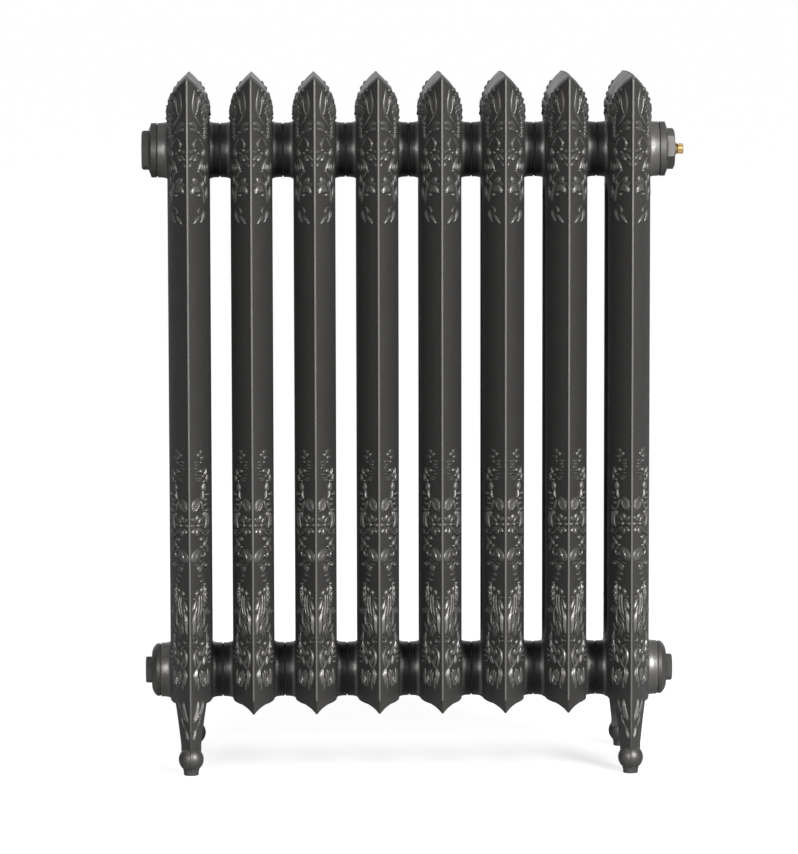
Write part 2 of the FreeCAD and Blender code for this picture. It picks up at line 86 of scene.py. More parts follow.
def tidy_shell(piece: bpy.types.Object, merge: float = 1e-4) -> None:
    """Merge doubled points and turn every face outwards.

    Args:
        piece: The closed mesh to clean.
        merge: Points nearer than this are joined.
    """
    make_active(piece)
    bpy.ops.object.mode_set(mode="EDIT")
    bpy.ops.mesh.select_all(action="SELECT")
    bpy.ops.mesh.remove_doubles(threshold=merge)
    bpy.ops.mesh.delete_loose()
    bpy.ops.mesh.select_all(action="SELECT")
    bpy.ops.mesh.normals_make_consistent(inside=False)
    bpy.ops.object.mode_set(mode="OBJECT")


def outline_solid(name: str, outline: Sequence[Vector], sweep: Vector, steps: int = 1) -> bpy.types.Object:
    """Extrude a flat outline into a closed solid.

    Args:
        name: Name of the new object.
        outline: Corners in order round the outline.
        sweep: Full length and direction of the extrusion.
        steps: Number of equal extrusions it is made in.

    Returns:
        The new solid.
    """
    clear_selection()
    bpy.ops.mesh.primitive_circle_add(vertices=len(outline), radius=1, fill_type="NGON")
    piece = bpy.context.object
    piece.name = name
    for vertex, corner in zip(piece.data.vertices, outline):
        vertex.co = corner
    bpy.ops.object.mode_set(mode="EDIT")
    bpy.ops.mesh.select_all(action="SELECT")
    for _ in range(steps):
        bpy.ops.mesh.extrude_region_move(TRANSFORM_OT_translate={"value": sweep / steps})
    bpy.ops.object.mode_set(mode="OBJECT")
    tidy_shell(piece)
    return piece


def turned_solid(name: str, profile: Sequence[Point], steps: int = 96) -> bpy.types.Object:
    """Spin a profile about the X axis into a closed solid.

    Args:
        name: Name of the new object.
        profile: Pairs of (distance along X, radius) that start and end on the axis.
        steps: Facets in a full turn.

    Returns:
        The new solid.
    """
    clear_selection()
    bpy.ops.mesh.primitive_circle_add(vertices=len(profile), radius=1, fill_type="NOTHING")
    piece = bpy.context.object
    piece.name = name
    for vertex, (along, radius) in zip(piece.data.vertices, profile):
        vertex.co = (along, 0.0, radius)
    bpy.ops.object.mode_set(mode="EDIT")
    bpy.ops.mesh.select_all(action="SELECT")
    bpy.ops.mesh.spin(steps=steps, angle=math.tau, center=(0, 0, 0), axis=(1, 0, 0))
    bpy.ops.object.mode_set(mode="OBJECT")
    tidy_shell(piece)
    return piece


def combine(piece: bpy.types.Object, other: bpy.types.Object, operation: str) -> None:
    """Cut, join or intersect a solid with another, which is used up.

    Args:
        piece: The solid that stays.
        other: The solid that is taken away, added or kept in common.
        operation: "DIFFERENCE", "UNION" or "INTERSECT".
    """
    make_active(piece)
    modifier = piece.modifiers.new(operation.title(), "BOOLEAN")
    modifier.operation = operation
    modifier.solver = "MANIFOLD"
    modifier.object = other
    bpy.ops.object.modifier_apply(modifier=modifier.name)
    bpy.data.objects.remove(other)


def shifted(piece: bpy.types.Object, offset: Vector) -> bpy.types.Object:
    """Move a solid's mesh and leave its object at the origin.

    Args:
        piece: The solid.
        offset: How far it moves.

    Returns:
        The same solid.
    """
    piece.data.transform(Matrix.Translation(offset))
    return piece


def finished_copy(piece: bpy.types.Object, name: str, place: Matrix) -> bpy.types.Object:
    """Copy a piece, with its own mesh, to its place in the row frame.

    Args:
        piece: The modelled piece, in millimetres.
        name: Name of the copy.
        place: Turn and move, in millimetres.

    Returns:
        The copy, in metres, with its place in its mesh.
    """
    mesh = piece.data.copy()
    mesh.transform(Matrix.Scale(MILLI, 4) @ place)
    mesh.name = name
    copy = bpy.data.objects.new(name, mesh)
    bpy.context.scene.collection.objects.link(copy)
    return copy


def circle_points(centre: Point, radius: float, start: float, end: float, count: int) -> list[Point]:
    """Points along an arc.

    Args:
        centre: Middle of the arc.
        radius: Its radius.
        start: First angle, in degrees.
        end: Last angle, in degrees.
        count: Number of steps between them.

    Returns:
        The points, both ends included.
    """
    points = []
    for i in range(count + 1):
        angle = math.radians(start + (end - start) * i / count)
        points.append((centre[0] + radius * math.cos(angle), centre[1] + radius * math.sin(angle)))
    return points


# ---------------------------------------------------------------- the plain form


@dataclass(frozen=True)
class SectionForm:
    """Sizes of a section, in millimetres, as the frame has them, and the surface they give."""

    half_width: float = 23.7
    half_depth: float = 100.0
    widest: float = 34.4
    slot_half: float = 14.0
    bead_half: float = 0.9
    bead_rise: float = 0.75
    top: float = 795.4
    underside: float = 79.0
    arch_rise: float = 47.0
    roof_sag: float = 1.5
    roof_fall: float = 5.0
    roof_round: float = 6.5
    upper_hub: float = 705.0
    lower_hub: float = 107.0
    hub_radius: float = 31.0
    hub_half: float = 35.15
    slot_clear: float = 8.0

    @property
    def face_radius(self) -> float:
        """Radius of the curved column faces."""
        depth = self.half_depth - self.widest
        return (self.half_width ** 2 + depth ** 2) / (2 * self.half_width)

    @property
    def arch_radius(self) -> float:
        """Radius of each side of the pointed arch."""
        return (self.half_width ** 2 + self.arch_rise ** 2) / (2 * self.half_width)

    @property
    def spring(self) -> float:
        """Height where the arch begins."""
        return self.top - self.arch_rise

    @property
    def ridge_angle(self) -> float:
        """Angle round a curved face from its widest place to the ridge, in radians."""
        return math.acos((self.face_radius - self.half_width) / self.face_radius)

    def along_face(self, x: float) -> float:
        """Distance along the surface from the ridge, past the curved face onto the flat side.

        Args:
            x: Offset from the ridge as seen from the front; what is past the half-width runs on the side.

        Returns:
            The distance on the surface.
        """
        seen = min(x, self.half_width)
        share = (seen + self.face_radius - self.half_width) / self.face_radius
        turn = self.ridge_angle - math.acos(min(share, 1.0))
        return self.face_radius * turn + max(x - self.half_width, 0.0)

    def inside(self, x: float, y: float) -> float:
        """How far a place in plan lies inside the column face.

        Args:
            x: Distance from the middle of the width.
            y: Distance from the middle of the depth.

        Returns:
            The distance, negative outside.
        """
        x, y = abs(x), abs(y)
        if y <= self.widest:
            return self.half_width - x
        return self.face_radius - math.hypot(x + self.face_radius - self.half_width, y - self.widest)

    def roof(self, x: float, y: float) -> float:
        """Height of the pointed roof, rounded over where it meets the column faces.

        Args:
            x: Distance from the middle of the width.
            y: Distance from the middle of the depth.

        Returns:
            The height above the floor.
        """
        x = min(abs(x), self.half_width)
        arch = math.sqrt(max(self.arch_radius ** 2 - (x + self.arch_radius - self.half_width) ** 2, 0.0))
        back = y / self.half_depth
        height = self.spring + arch - self.roof_sag * back ** 2 - self.roof_fall * (1 + back) / 2
        radius = self.roof_round * (1.0 - (x / self.half_width) ** 2)
        depth = min(max(self.inside(x, y), 0.0), radius)
        return height - radius + math.sqrt(max(radius ** 2 - (radius - depth) ** 2, 0.0))

    def surface(self, side: int, front: int, along: float, z: float, rise: float) -> Vector:
        """Lay a point of flat relief on a column face, its side or the roof above them.

        Args:
            side: 1 for the face towards +X, -1 for the one towards -X.
            front: -1 for the front ridge, 1 for the back ridge.
            along: Distance from the ridge on the surface.
            z: Height above the floor.
            rise: Height of the relief.

        Returns:
            The point in the section's frame.
        """
        turn = self.ridge_angle - along / self.face_radius
        if turn >= 0:
            normal = Vector((math.cos(turn), math.sin(turn)))
            base = Vector((self.half_width - self.face_radius, self.widest)) + self.face_radius * normal
        else:
            normal = Vector((1.0, 0.0))
            base = Vector((self.half_width, self.widest + self.face_radius * turn))
        lift = Vector((normal.x, normal.y, 0.0))
        place = base
        if z > self.roof(base.x, front * base.y):
            low, high = 0.0, 23.0
            for _ in range(16):
                middle = (low + high) / 2
                place = base - middle * normal
                low, high = (middle, high) if self.roof(max(place.x, 0.0), front * place.y) < z else (low, middle)
            place = base - high * normal
            place.x = max(place.x, 0.0)
            step = 0.2
            deep = front * place.y
            slope_x = self.roof(place.x + step, deep) - self.roof(max(place.x - step, 0.0), deep)
            slope_y = front * (self.roof(place.x, deep + step) - self.roof(place.x, deep - step))
            lift = Vector((-slope_x, -slope_y, 2 * step)).normalized()
            z = self.roof(place.x, deep)
        point = Vector((place.x, place.y, z)) + rise * lift
        return Vector((side * point.x, front * point.y, point.z))


FORM = SectionForm()


# ---------------------------------------------------------------- relief


BOLD_ACROSS = 1.22
BOLD_RISE = 1.25


class Kind(Enum):
    """The shapes that the cast relief is made of."""

    PETAL = "petal"
    LEAF = "leaf"
    STEM = "stem"
    BUD = "bud"
    FROND = "frond"
    SHELL = "shell"


@dataclass(frozen=True)
class Mark:
    """One relief shape: a path of (offset from the ridge, height above the floor), and its size.

    Everything is in millimetres as the face is seen from the front.
    """

    kind: Kind
    width: float
    path: tuple[Point, ...]
    height: float = 1.6

    def spot(self, u: float) -> tuple[Vector, Vector]:
        """Place and direction on the path's smooth curve.

        Args:
            u: Share of the way along, 0 to 1.

        Returns:
            The place and the direction, unit length.
        """
        points = [Vector(p) for p in self.path]
        points = [2 * points[0] - points[1]] + points + [2 * points[-1] - points[-2]]
        spans = len(points) - 3
        i = min(int(u * spans), spans - 1)
        t = u * spans - i
        a, b, c, d = points[i:i + 4]
        place = 0.5 * (2 * b + (c - a) * t + (2 * a - 5 * b + 4 * c - d) * t ** 2
                       + (3 * b - a - 3 * c + d) * t ** 3)
        run = (c - a) + 2 * (2 * a - 5 * b + 4 * c - d) * t + 3 * (3 * b - a - 3 * c + d) * t ** 2
        return place, run.normalized()

    def lay(self, local: Vector, side: int, front: int) -> Vector:
        """Bend a point of the flat shape along the path and onto a face.

        Args:
            local: The point in the shape's own unit frame.
            side: Which side of the ridge, as for SectionForm.surface.
            front: Which ridge.

        Returns:
            The point in the section's frame.
        """
        place, run = self.spot(min(max(local.x, 0.0), 1.0))
        place = place + Vector((-run.y, run.x)) * (local.y * BOLD_ACROSS * self.width / 2)
        rise = BOLD_RISE * local.z * self.height if local.z > 0 else local.z
        return FORM.surface(side, front, FORM.along_face(max(place.x, 0.35)), place.y, rise)

    def box(self) -> tuple[float, float, float, float]:
        """Left, right, bottom and top of what the mark covers, with room to spare."""
        spots = [self.spot(i / 6)[0] for i in range(7)]
        room = BOLD_ACROSS * self.width / 2 + 0.3
        return (min(p.x for p in spots) - room, max(p.x for p in spots) + room,
                min(p.y for p in spots) - room, max(p.y for p in spots) + room)

    def meets(self, other: Mark) -> bool:
        """Whether another mark may touch this one."""
        a, b = self.box(), other.box()
        return a[0] < b[1] and b[0] < a[1] and a[2] < b[3] and b[2] < a[3]


@dataclass
class ReliefPatterns:
    """Models each relief shape once, lying flat along X from 0 to 1, half a unit to each side."""

    root_depth: float = -1.2
    shapes: dict[Kind, bpy.types.Object] = field(default_factory=dict)

    def half_width(self, kind: Kind, u: float) -> float:
        """Half-width of a shape at a place along it.

        Args:
            kind: Which shape.
            u: Place along the shape, 0 to 1.

        Returns:
            Half-width, at most 1.
        """
        arch = max(math.sin(math.pi * u), 0.0)
        if kind is Kind.PETAL:
            return max(math.sin(math.pi * u ** 1.5), 0.0) ** 0.55
        if kind is Kind.LEAF:
            return max(math.sin(math.pi * u ** 0.8), 0.0) ** 0.85
        if kind is Kind.BUD:
            return arch ** 0.5
        if kind is Kind.SHELL:
            return arch ** 0.5
        if kind is Kind.FROND:
            teeth = 0.3 * abs(math.sin(4.5 * math.pi * u))
            return arch ** 0.5 * (0.75 + teeth)
        return min(1.0, 3.0 * arch) ** 0.6 * (1.0 - 0.3 * u)

    def crest(self, kind: Kind, u: float, v: float) -> float:
        """Height of a shape over its bed.

        Args:
            kind: Which shape.
            u: Place along the shape, 0 to 1.
            v: Place across it, -1 to 1.

        Returns:
            Height, at most about 1.
        """
        dome = max(1.0 - abs(v) ** 2.4, 0.0) ** 0.6
        rise = max(math.sin(math.pi * u), 0.0) ** 0.4
        if kind is Kind.LEAF:
            return rise * dome * (1.0 - 0.5 * math.exp(-(v / 0.2) ** 2))
        if kind is Kind.FROND:
            vein = 0.2 * math.cos(9 * math.pi * (u - 0.25 * abs(v)))
            return rise * dome * (0.8 + vein) * (1.0 - 0.4 * math.exp(-(v / 0.2) ** 2))
        if kind is Kind.SHELL:
            return rise * dome * (0.86 + 0.14 * math.cos(7.0 * math.pi * v))
        if kind is Kind.PETAL:
            return (0.3 + 0.7 * u ** 0.8) * rise * dome * (1.0 - 0.3 * math.exp(-(v / 0.25) ** 2))
        return rise * dome

    def model(self, kind: Kind) -> bpy.types.Object:
        """Model one shape from a grid whose rim is drawn down into the iron.

        Args:
            kind: Which shape.

        Returns:
            The closed shape.
        """
        sizes = {Kind.BUD: (6, 6), Kind.FROND: (28, 8), Kind.LEAF: (9, 8), Kind.SHELL: (12, 14)}
        along, across = sizes.get(kind, (9, 6))
        clear_selection()
        bpy.ops.mesh.primitive_grid_add(x_subdivisions=along, y_subdivisions=across, size=2)
        piece = bpy.context.object
        piece.name = f"pattern_{kind.value}"
        bpy.ops.object.mode_set(mode="EDIT")
        bpy.ops.mesh.select_all(action="SELECT")
        bpy.ops.mesh.region_to_loop()
        bpy.ops.mesh.extrude_region_move(TRANSFORM_OT_translate={"value": (0, 0, self.root_depth)})
        bpy.ops.mesh.edge_face_add()
        bpy.ops.object.mode_set(mode="OBJECT")
        for vertex in piece.data.vertices:
            u = 0.5 + 0.5 * vertex.co.x
            v = math.sin(0.5 * math.pi * vertex.co.y)
            reach = 0.06 + 0.94 * self.half_width(kind, 0.02 + 0.96 * u)
            deep = vertex.co.z < self.root_depth / 2
            height = self.root_depth if deep else self.crest(kind, u, v)
            vertex.co = (u, v * reach, height)
        tidy_shell(piece)
        return piece

    def get(self, kind: Kind) -> bpy.types.Mesh:
        """The mesh of a shape, modelled the first time it is asked for."""
        if kind not in self.shapes:
            self.shapes[kind] = self.model(kind)
        return self.shapes[kind].data

    def discard(self) -> None:
        """Remove the modelled shapes once every mark is made."""
        for piece in self.shapes.values():
            bpy.data.objects.remove(piece)
        self.shapes.clear()


def petal(width: float, *path: Point, height: float = 1.8) -> Mark:
    """A petal, narrow where it starts."""
    return Mark(Kind.PETAL, width, path, height)


def leaf(width: float, *path: Point, height: float = 1.7) -> Mark:
    """A leaf with a sunk midrib."""
    return Mark(Kind.LEAF, width, path, height)


def stem(width: float, *path: Point, height: float = 1.5) -> Mark:
    """A stem or a scroll that thins towards its end."""
    return Mark(Kind.STEM, width, path, height)


def frond(width: float, *path: Point, height: float = 1.8) -> Mark:
    """A long leaf with a toothed edge."""
    return Mark(Kind.FROND, width, path, height)


def shell(width: float, *path: Point, height: float = 1.9) -> Mark:
    """A broad round leaf with fine veins."""
    return Mark(Kind.SHELL, width, path, height)


def bud(size: float, x: float, z: float, height: float = 2.0, lean: float = 0.0) -> Mark:
    """A bud or bead.

    Args:
        size: Its length.
        x: Its middle's offset from the ridge.
        z: Its middle's height above the floor.
        height: How far it stands out.
        lean: How far its tip leans away from the ridge.

    Returns:
        The mark.
    """
    return Mark(Kind.BUD, 0.62 * size, ((x - lean / 2, z - size / 2), (x + lean / 2, z + size / 2)), height)


@dataclass(frozen=True)
class CastFlora:
    """The foliage cast on one column face, read from the top down."""

    def shoulder(self) -> list[Mark]:
        """Lance leaf, crinkled leaves, fan leaf and beaded stem under the arch."""
        marks = [
            leaf(5.0, (9.1, 747.2), (8.6, 762.0), (9.0, 779.0), height=1.0),
            stem(1.5, (9.0, 748.5), (11.2, 757.0), (12.7, 770.0), height=1.5),
            stem(1.6, (8.8, 749.5), (11.8, 741.5), (16.4, 733.8), height=1.6),
            petal(5.0, (12.2, 731.4), (7.8, 738.8), (3.0, 742.0), height=1.9),
            petal(4.0, (12.2, 730.2), (8.0, 732.6), (3.4, 735.8), height=2.3),
            bud(3.2, 12.2, 730.2, 1.9),
            leaf(2.2, (21.0, 737.0), (22.6, 749.0), height=1.4),
            stem(1.7, (18.5, 719.0), (19.2, 733.0), (18.2, 749.5), height=1.5),
            leaf(2.6, (16.0, 750.0), (18.6, 757.0), (17.2, 765.0), height=1.6),
            leaf(2.4, (20.6, 746.0), (21.6, 754.0), (20.0, 762.0), height=1.7),
            stem(1.4, (15.4, 757.0), (13.6, 764.0), (15.0, 771.0), height=1.3),
        ]
        for x, z, turn in ((14.6, 776, -1), (17.0, 771, 1), (15.6, 768, -1), (19.0, 764, 1), (17.6, 761, -1),
                           (20.4, 757, 1), (18.6, 755, -1), (21.6, 751, 1), (19.8, 748, -1), (22.0, 743, 1)):
            marks.append(petal(4.4, (x - 0.9 * turn, z - 2.4), (x + 1.7 * turn, z + 3.0), height=2.0))
        for z in (743.5, 738.5, 733.5, 728.5, 723.5):
            marks.append(bud(4.2, 18.8, z, 2.2))
        for along, z in ((27, 752), (33, 747), (40, 752), (47, 748), (54, 752), (30, 762), (38, 764),
                         (46, 762)):
            marks.append(petal(5.0, (along - 2.0, z - 3.0), (along + 1.5, z + 4.0), height=1.6))
        return marks

    def scrolls(self) -> list[Mark]:
        """C-scroll, three-lobed cluster, zigzag stem, broad leaf and tendrils."""
        return [
            stem(1.8, (8.4, 711.0), (6.9, 717.2), (9.0, 722.6), (12.6, 724.4), height=1.8),
            bud(4.0, 8.1, 710.4, 2.2),
            petal(3.6, (7.9, 706.6), (5.4, 709.2), (2.4, 708.0), height=1.6),
            petal(3.0, (9.4, 707.4), (6.0, 704.0), (2.6, 698.8), height=1.8),
            petal(3.6, (11.0, 706.8), (9.4, 701.6), (7.6, 697.4), height=2.2),
            petal(2.4, (6.4, 698.8), (4.0, 695.4), (2.4, 691.4), height=1.3),
            bud(3.4, 11.8, 706.7, 1.8),
            stem(1.7, (19.0, 717.6), (17.0, 722.0), (14.4, 728.0), height=1.6),
            stem(1.7, (18.2, 711.6), (16.4, 716.0), (13.8, 723.4), height=1.5),
            leaf(2.6, (17.2, 701.0), (17.6, 712.0), height=1.9),
            leaf(2.3, (17.7, 701.2), (14.4, 695.6), (11.6, 686.8), height=2.0),
            bud(3.4, 11.7, 686.2, 2.1),
            stem(1.6, (17.0, 676.2), (14.6, 681.0), (12.0, 686.2), height=1.7),
            leaf(1.7, (19.0, 683.2), (18.6, 694.0), height=1.3),
            leaf(1.3, (21.6, 684.0), (21.8, 695.0), height=1.0),
            leaf(1.5, (19.4, 669.6), (19.2, 681.4), height=1.3),
            leaf(1.5, (15.6, 686.0), (16.2, 694.6), height=1.3),
            leaf(5.2, (11.8, 672.2), (8.6, 675.8), (6.4, 680.2), height=1.8),
            leaf(5.6, (12.0, 671.6), (7.0, 671.6), (1.8, 672.4), height=2.0),
            leaf(6.4, (11.8, 671.0), (7.6, 667.0), (3.6, 662.2), height=2.6),
            petal(3.2, (12.0, 670.4), (11.4, 666.0), (9.6, 662.6), height=1.6),
            bud(5.2, 11.6, 664.8, 1.9, 0.6),
            bud(4.6, 12.4, 659.4, 2.3, -0.4),
            stem(1.9, (18.6, 648.2), (17.0, 661.0), (13.6, 674.0), height=1.8),
            leaf(1.8, (20.6, 652.0), (20.8, 668.0), height=1.4),
            leaf(1.5, (15.9, 667.0), (16.6, 676.0), height=1.3),
            stem(1.7, (13.2, 637.0), (11.2, 641.0), (13.4, 645.6), (16.6, 643.0), height=1.5),
            leaf(2.8, (12.6, 637.2), (9.4, 632.6), (6.0, 627.4), height=2.0),
            leaf(2.2, (17.4, 642.0), (16.4, 634.6), (13.8, 628.0), height=1.7),
        ]

    def flowers(self) -> list[Mark]:
        """Two small flowers, a midribbed leaf, a large daisy and a round leaf."""
        return [
            petal(3.6, (13.0, 364.2), (14.0, 371.6), height=1.7),
            petal(3.8, (11.4, 361.0), (9.8, 368.4), height=2.2),
            petal(3.6, (13.0, 358.6), (15.4, 364.4), height=2.1),
            petal(3.0, (11.8, 359.2), (5.4, 358.0), height=1.8),
            petal(2.8, (11.8, 355.6), (6.4, 354.2), height=2.0),
            petal(2.8, (11.6, 351.6), (5.2, 351.4), height=1.9),
            petal(2.6, (11.8, 348.6), (8.0, 346.6), height=1.5),
            bud(5.2, 12.2, 347.4, 2.4, 0.8),
            bud(3.6, 12.6, 357.0, 1.6),
            petal(2.2, (13.9, 342.2), (5.6, 344.4), height=2.0),
            petal(2.2, (13.9, 341.2), (6.6, 339.6), height=2.1),
            petal(2.4, (14.1, 340.2), (8.4, 336.2), height=2.3),
            bud(3.0, 14.2, 341.0, 2.0),
            leaf(1.5, (16.2, 340.6), (17.5, 349.4), height=1.7),
            leaf(1.4, (18.6, 332.0), (18.8, 342.0), height=1.5),
            bud(3.6, 16.0, 335.0, 2.1, 0.8),
            leaf(3.0, (15.1, 322.6), (15.2, 328.0), (14.9, 333.6), height=2.1),
            stem(1.8, (14.2, 313.6), (14.6, 319.0), (15.0, 325.0), height=1.8),
            bud(4.4, 19.2, 318.6, 2.2),
            bud(4.6, 17.6, 313.2, 1.9),
            bud(4.6, 17.4, 307.6, 1.9),
            bud(5.0, 18.8, 300.6, 2.0),
            leaf(6.8, (10.6, 316.8), (6.4, 310.8), (3.8, 300.8), height=1.8),
            stem(1.0, (9.8, 313.6), (8.2, 307.4), (5.2, 302.0), height=2.4),
            petal(3.0, (8.6, 312.4), (2.2, 309.2), height=2.0),
            petal(2.6, (7.6, 309.2), (2.4, 304.6), height=2.0),
            leaf(2.0, (12.4, 313.4), (13.6, 306.8), (14.8, 299.6), height=1.6),
            leaf(1.9, (15.2, 300.4), (15.4, 292.0), height=1.7),
            petal(3.3, (8.6, 288.6), (8.2, 293.4), (9.2, 298.6), height=2.2),
            petal(3.8, (8.0, 287.8), (5.4, 291.2), (3.0, 295.8), height=2.2),
            petal(4.2, (7.8, 286.2), (4.6, 286.6), (1.4, 287.2), height=2.2),
            petal(3.8, (7.9, 284.6), (5.2, 281.4), (2.9, 277.0), height=2.3),
            petal(3.3, (8.6, 283.8), (8.2, 279.0), (8.6, 273.4), height=2.2),
            petal(3.3, (9.6, 284.2), (11.8, 280.2), (14.0, 276.4), height=2.0),
            petal(3.6, (10.0, 285.8), (12.8, 285.6), (15.4, 285.2), height=2.0),
            petal(3.3, (9.6, 287.4), (11.8, 291.0), (13.8, 295.4), height=2.0),
            bud(4.6, 8.9, 286.0, 2.7),
            stem(1.7, (17.2, 278.8), (17.8, 289.0), (17.2, 299.8), height=1.9),
            stem(1.5, (19.6, 279.6), (20.0, 289.0), (19.6, 298.2), height=1.5),
            stem(1.6, (13.8, 277.2), (16.4, 272.6), (19.4, 270.6), height=2.1),
            stem(1.6, (16.4, 276.8), (19.6, 277.4), (19.9, 271.6), height=1.7),
            bud(6.4, 13.2, 269.6, 2.1, 0.6),
            leaf(2.4, (19.4, 270.8), (16.8, 265.4), (14.8, 260.4), height=1.8),
            leaf(2.0, (16.6, 263.0), (18.6, 258.0), (18.9, 251.6), height=1.6),
            bud(3.8, 13.0, 260.4, 2.0),
            shell(9.4, (10.4, 259.4), (7.2, 251.6), (4.6, 243.2), height=2.1),
            stem(0.9, (9.6, 257.6), (6.0, 252.8), (5.0, 246.0), height=2.6),
            bud(4.6, 12.4, 250.6, 2.5),
            stem(1.3, (14.6, 258.0), (16.0, 252.6), (14.6, 247.2), height=1.6),
        ]

    def star_leaf(self) -> list[Mark]:
        """Pointed leaf under the round one, its buds and the tall toothed leaves."""
        return [
            petal(2.4, (13.6, 238.6), (9.4, 241.6), (5.2, 241.2), height=1.9),
            leaf(4.8, (11.6, 241.0), (10.8, 236.4), (9.8, 231.4), height=1.7),
            petal(3.0, (12.8, 238.0), (16.8, 242.4), height=2.2),
            bud(4.4, 17.2, 238.4, 2.4, 0.4),
            petal(3.0, (10.4, 243.4), (14.6, 245.0), height=1.4),
            petal(2.8, (14.6, 231.4), (9.4, 226.6), height=2.2),
            petal(2.8, (15.8, 225.0), (11.0, 220.2), height=2.3),
            bud(3.8, 15.9, 217.2, 2.1),
            frond(1.7, (14.8, 189.8), (14.9, 204.0), (15.5, 218.6), height=2.2),
            frond(1.5, (17.0, 193.0), (17.0, 205.0), (16.6, 216.6), height=1.6),
            petal(1.9, (11.6, 206.8), (12.2, 211.0), (13.1, 215.0), height=2.2),
            petal(2.6, (6.8, 203.8), (7.2, 208.0), (8.3, 212.4), height=2.4),
            petal(2.6, (8.2, 199.8), (6.4, 203.0), (3.4, 203.2), height=1.9),
            petal(3.6, (7.2, 203.0), (5.4, 196.0), (3.0, 187.6), height=2.4),
            petal(2.2, (8.4, 199.0), (7.0, 192.0), (5.6, 184.0), height=1.9),
            stem(1.6, (7.4, 178.0), (9.4, 192.0), (10.2, 206.6), height=1.8),
            stem(1.5, (10.6, 180.0), (12.0, 192.0), (12.4, 206.0), height=1.7),
        ]

    def acanthus(self) -> list[Mark]:
        """Long strokes of the acanthus, shell at the side and palmette."""
        return [
            leaf(2.6, (6.0, 189.6), (3.6, 180.4), (3.4, 169.4), (2.5, 160.2), height=2.2),
            stem(1.5, (12.0, 185.2), (8.6, 179.6), (6.0, 172.6), height=2.1),
            stem(1.3, (10.4, 186.2), (7.8, 182.0), (5.8, 177.8), height=1.8),
            stem(2.0, (13.1, 179.8), (8.4, 172.6), (7.0, 161.0), height=2.2),
            stem(1.6, (13.6, 192.0), (14.9, 180.0), (14.2, 165.8), height=1.9),
            stem(1.6, (10.6, 171.8), (11.2, 164.0), (13.0, 156.2), height=1.9),
            stem(1.5, (8.8, 169.0), (9.4, 162.0), (11.0, 155.0), height=1.6),
            stem(1.6, (18.7, 170.6), (16.6, 165.8), (14.6, 161.0), height=1.9),
            stem(1.3, (12.4, 174.0), (12.6, 166.0), height=1.6),
            shell(3.6, (18.6, 190.0), (17.4, 184.8), (15.8, 180.0), height=1.8),
            bud(5.6, 19.0, 183.4, 2.3),
            frond(2.0, (17.7, 126.6), (17.2, 137.0), (18.3, 149.0), (17.7, 164.8), height=2.2),
            bud(3.4, 20.2, 137.0, 1.9),
            bud(3.4, 20.6, 131.0, 1.9),
            bud(3.2, 20.2, 125.6, 1.8),
            petal(1.8, (6.6, 159.4), (2.3, 158.2), height=2.0),
            petal(1.8, (6.6, 155.0), (2.3, 152.8), height=2.2),
            petal(1.8, (8.4, 157.6), (5.8, 150.8), height=1.6),
            petal(2.6, (12.2, 145.6), (13.7, 152.6), height=2.2),
            stem(1.7, (10.3, 142.4), (8.8, 145.2), (6.9, 148.0), height=2.0),
            stem(2.3, (9.2, 146.0), (5.0, 141.6), (3.6, 133.4), (4.6, 127.0), (7.2, 121.0), height=2.2),
            petal(1.9, (8.9, 134.4), (9.6, 139.0), (10.5, 143.4), height=2.2),
            stem(1.7, (10.4, 135.6), (13.2, 141.0), (16.0, 147.0), height=2.0),
            stem(1.4, (12.4, 134.6), (14.6, 140.0), (16.6, 144.6), height=1.6),
            stem(1.8, (11.6, 131.4), (9.4, 127.0), (6.8, 121.0), height=2.2),
            leaf(3.0, (6.0, 137.8), (7.8, 131.0), (8.2, 125.0), height=1.4),
            leaf(2.0, (13.4, 124.0), (14.4, 129.0), (14.6, 134.8), height=1.6),
        ]

    def base(self) -> list[Mark]:
        """The fronds that run down to the foot of the column."""
        return [
            leaf(3.6, (6.6, 123.6), (5.0, 115.4), (5.4, 109.0), (5.8, 101.4), height=2.1),
            stem(1.8, (10.1, 117.6), (10.3, 111.0), (10.6, 103.8), height=2.0),
            stem(1.5, (12.4, 119.4), (12.8, 110.0), (12.8, 99.0), height=1.6),
            stem(1.5, (14.0, 118.0), (15.2, 111.0), (14.2, 104.8), height=1.9),
            stem(1.4, (16.2, 114.6), (16.4, 107.0), (15.8, 100.6), height=1.7),
            bud(4.6, 14.3, 101.2, 1.9),
            stem(1.4, (8.0, 112.0), (8.2, 103.0), (8.4, 96.0), height=1.5),
            leaf(1.7, (18.8, 119.0), (19.0, 108.0), (18.2, 98.6), height=1.5),
        ]

    def leg(self) -> list[Mark]:
        """Leaves and a curl on the front of a leg."""
        return [
            leaf(3.2, (3.0, 60.0), (6.6, 72.0), (8.0, 85.0), height=1.7),
            leaf(2.8, (6.0, 62.0), (10.8, 72.0), (13.6, 84.0), height=1.6),
            stem(1.8, (2.6, 49.0), (7.4, 56.0), (9.8, 66.0), (7.0, 71.0), height=1.7),
            bud(4.6, 7.4, 64.4, 1.9),
            leaf(2.4, (1.9, 40.0), (3.6, 47.0), (5.6, 55.0), height=1.6),
        ]

    def marks(self, with_legs: bool) -> list[Mark]:
        """Every mark of one face.

        Args:
            with_legs: Whether the section has legs.

        Returns:
            The marks.
        """
        marks = self.shoulder() + self.scrolls() + self.flowers() + self.star_leaf() + self.acanthus() + self.base()
        return marks + self.leg() if with_legs else marks


# ---------------------------------------------------------------- casting


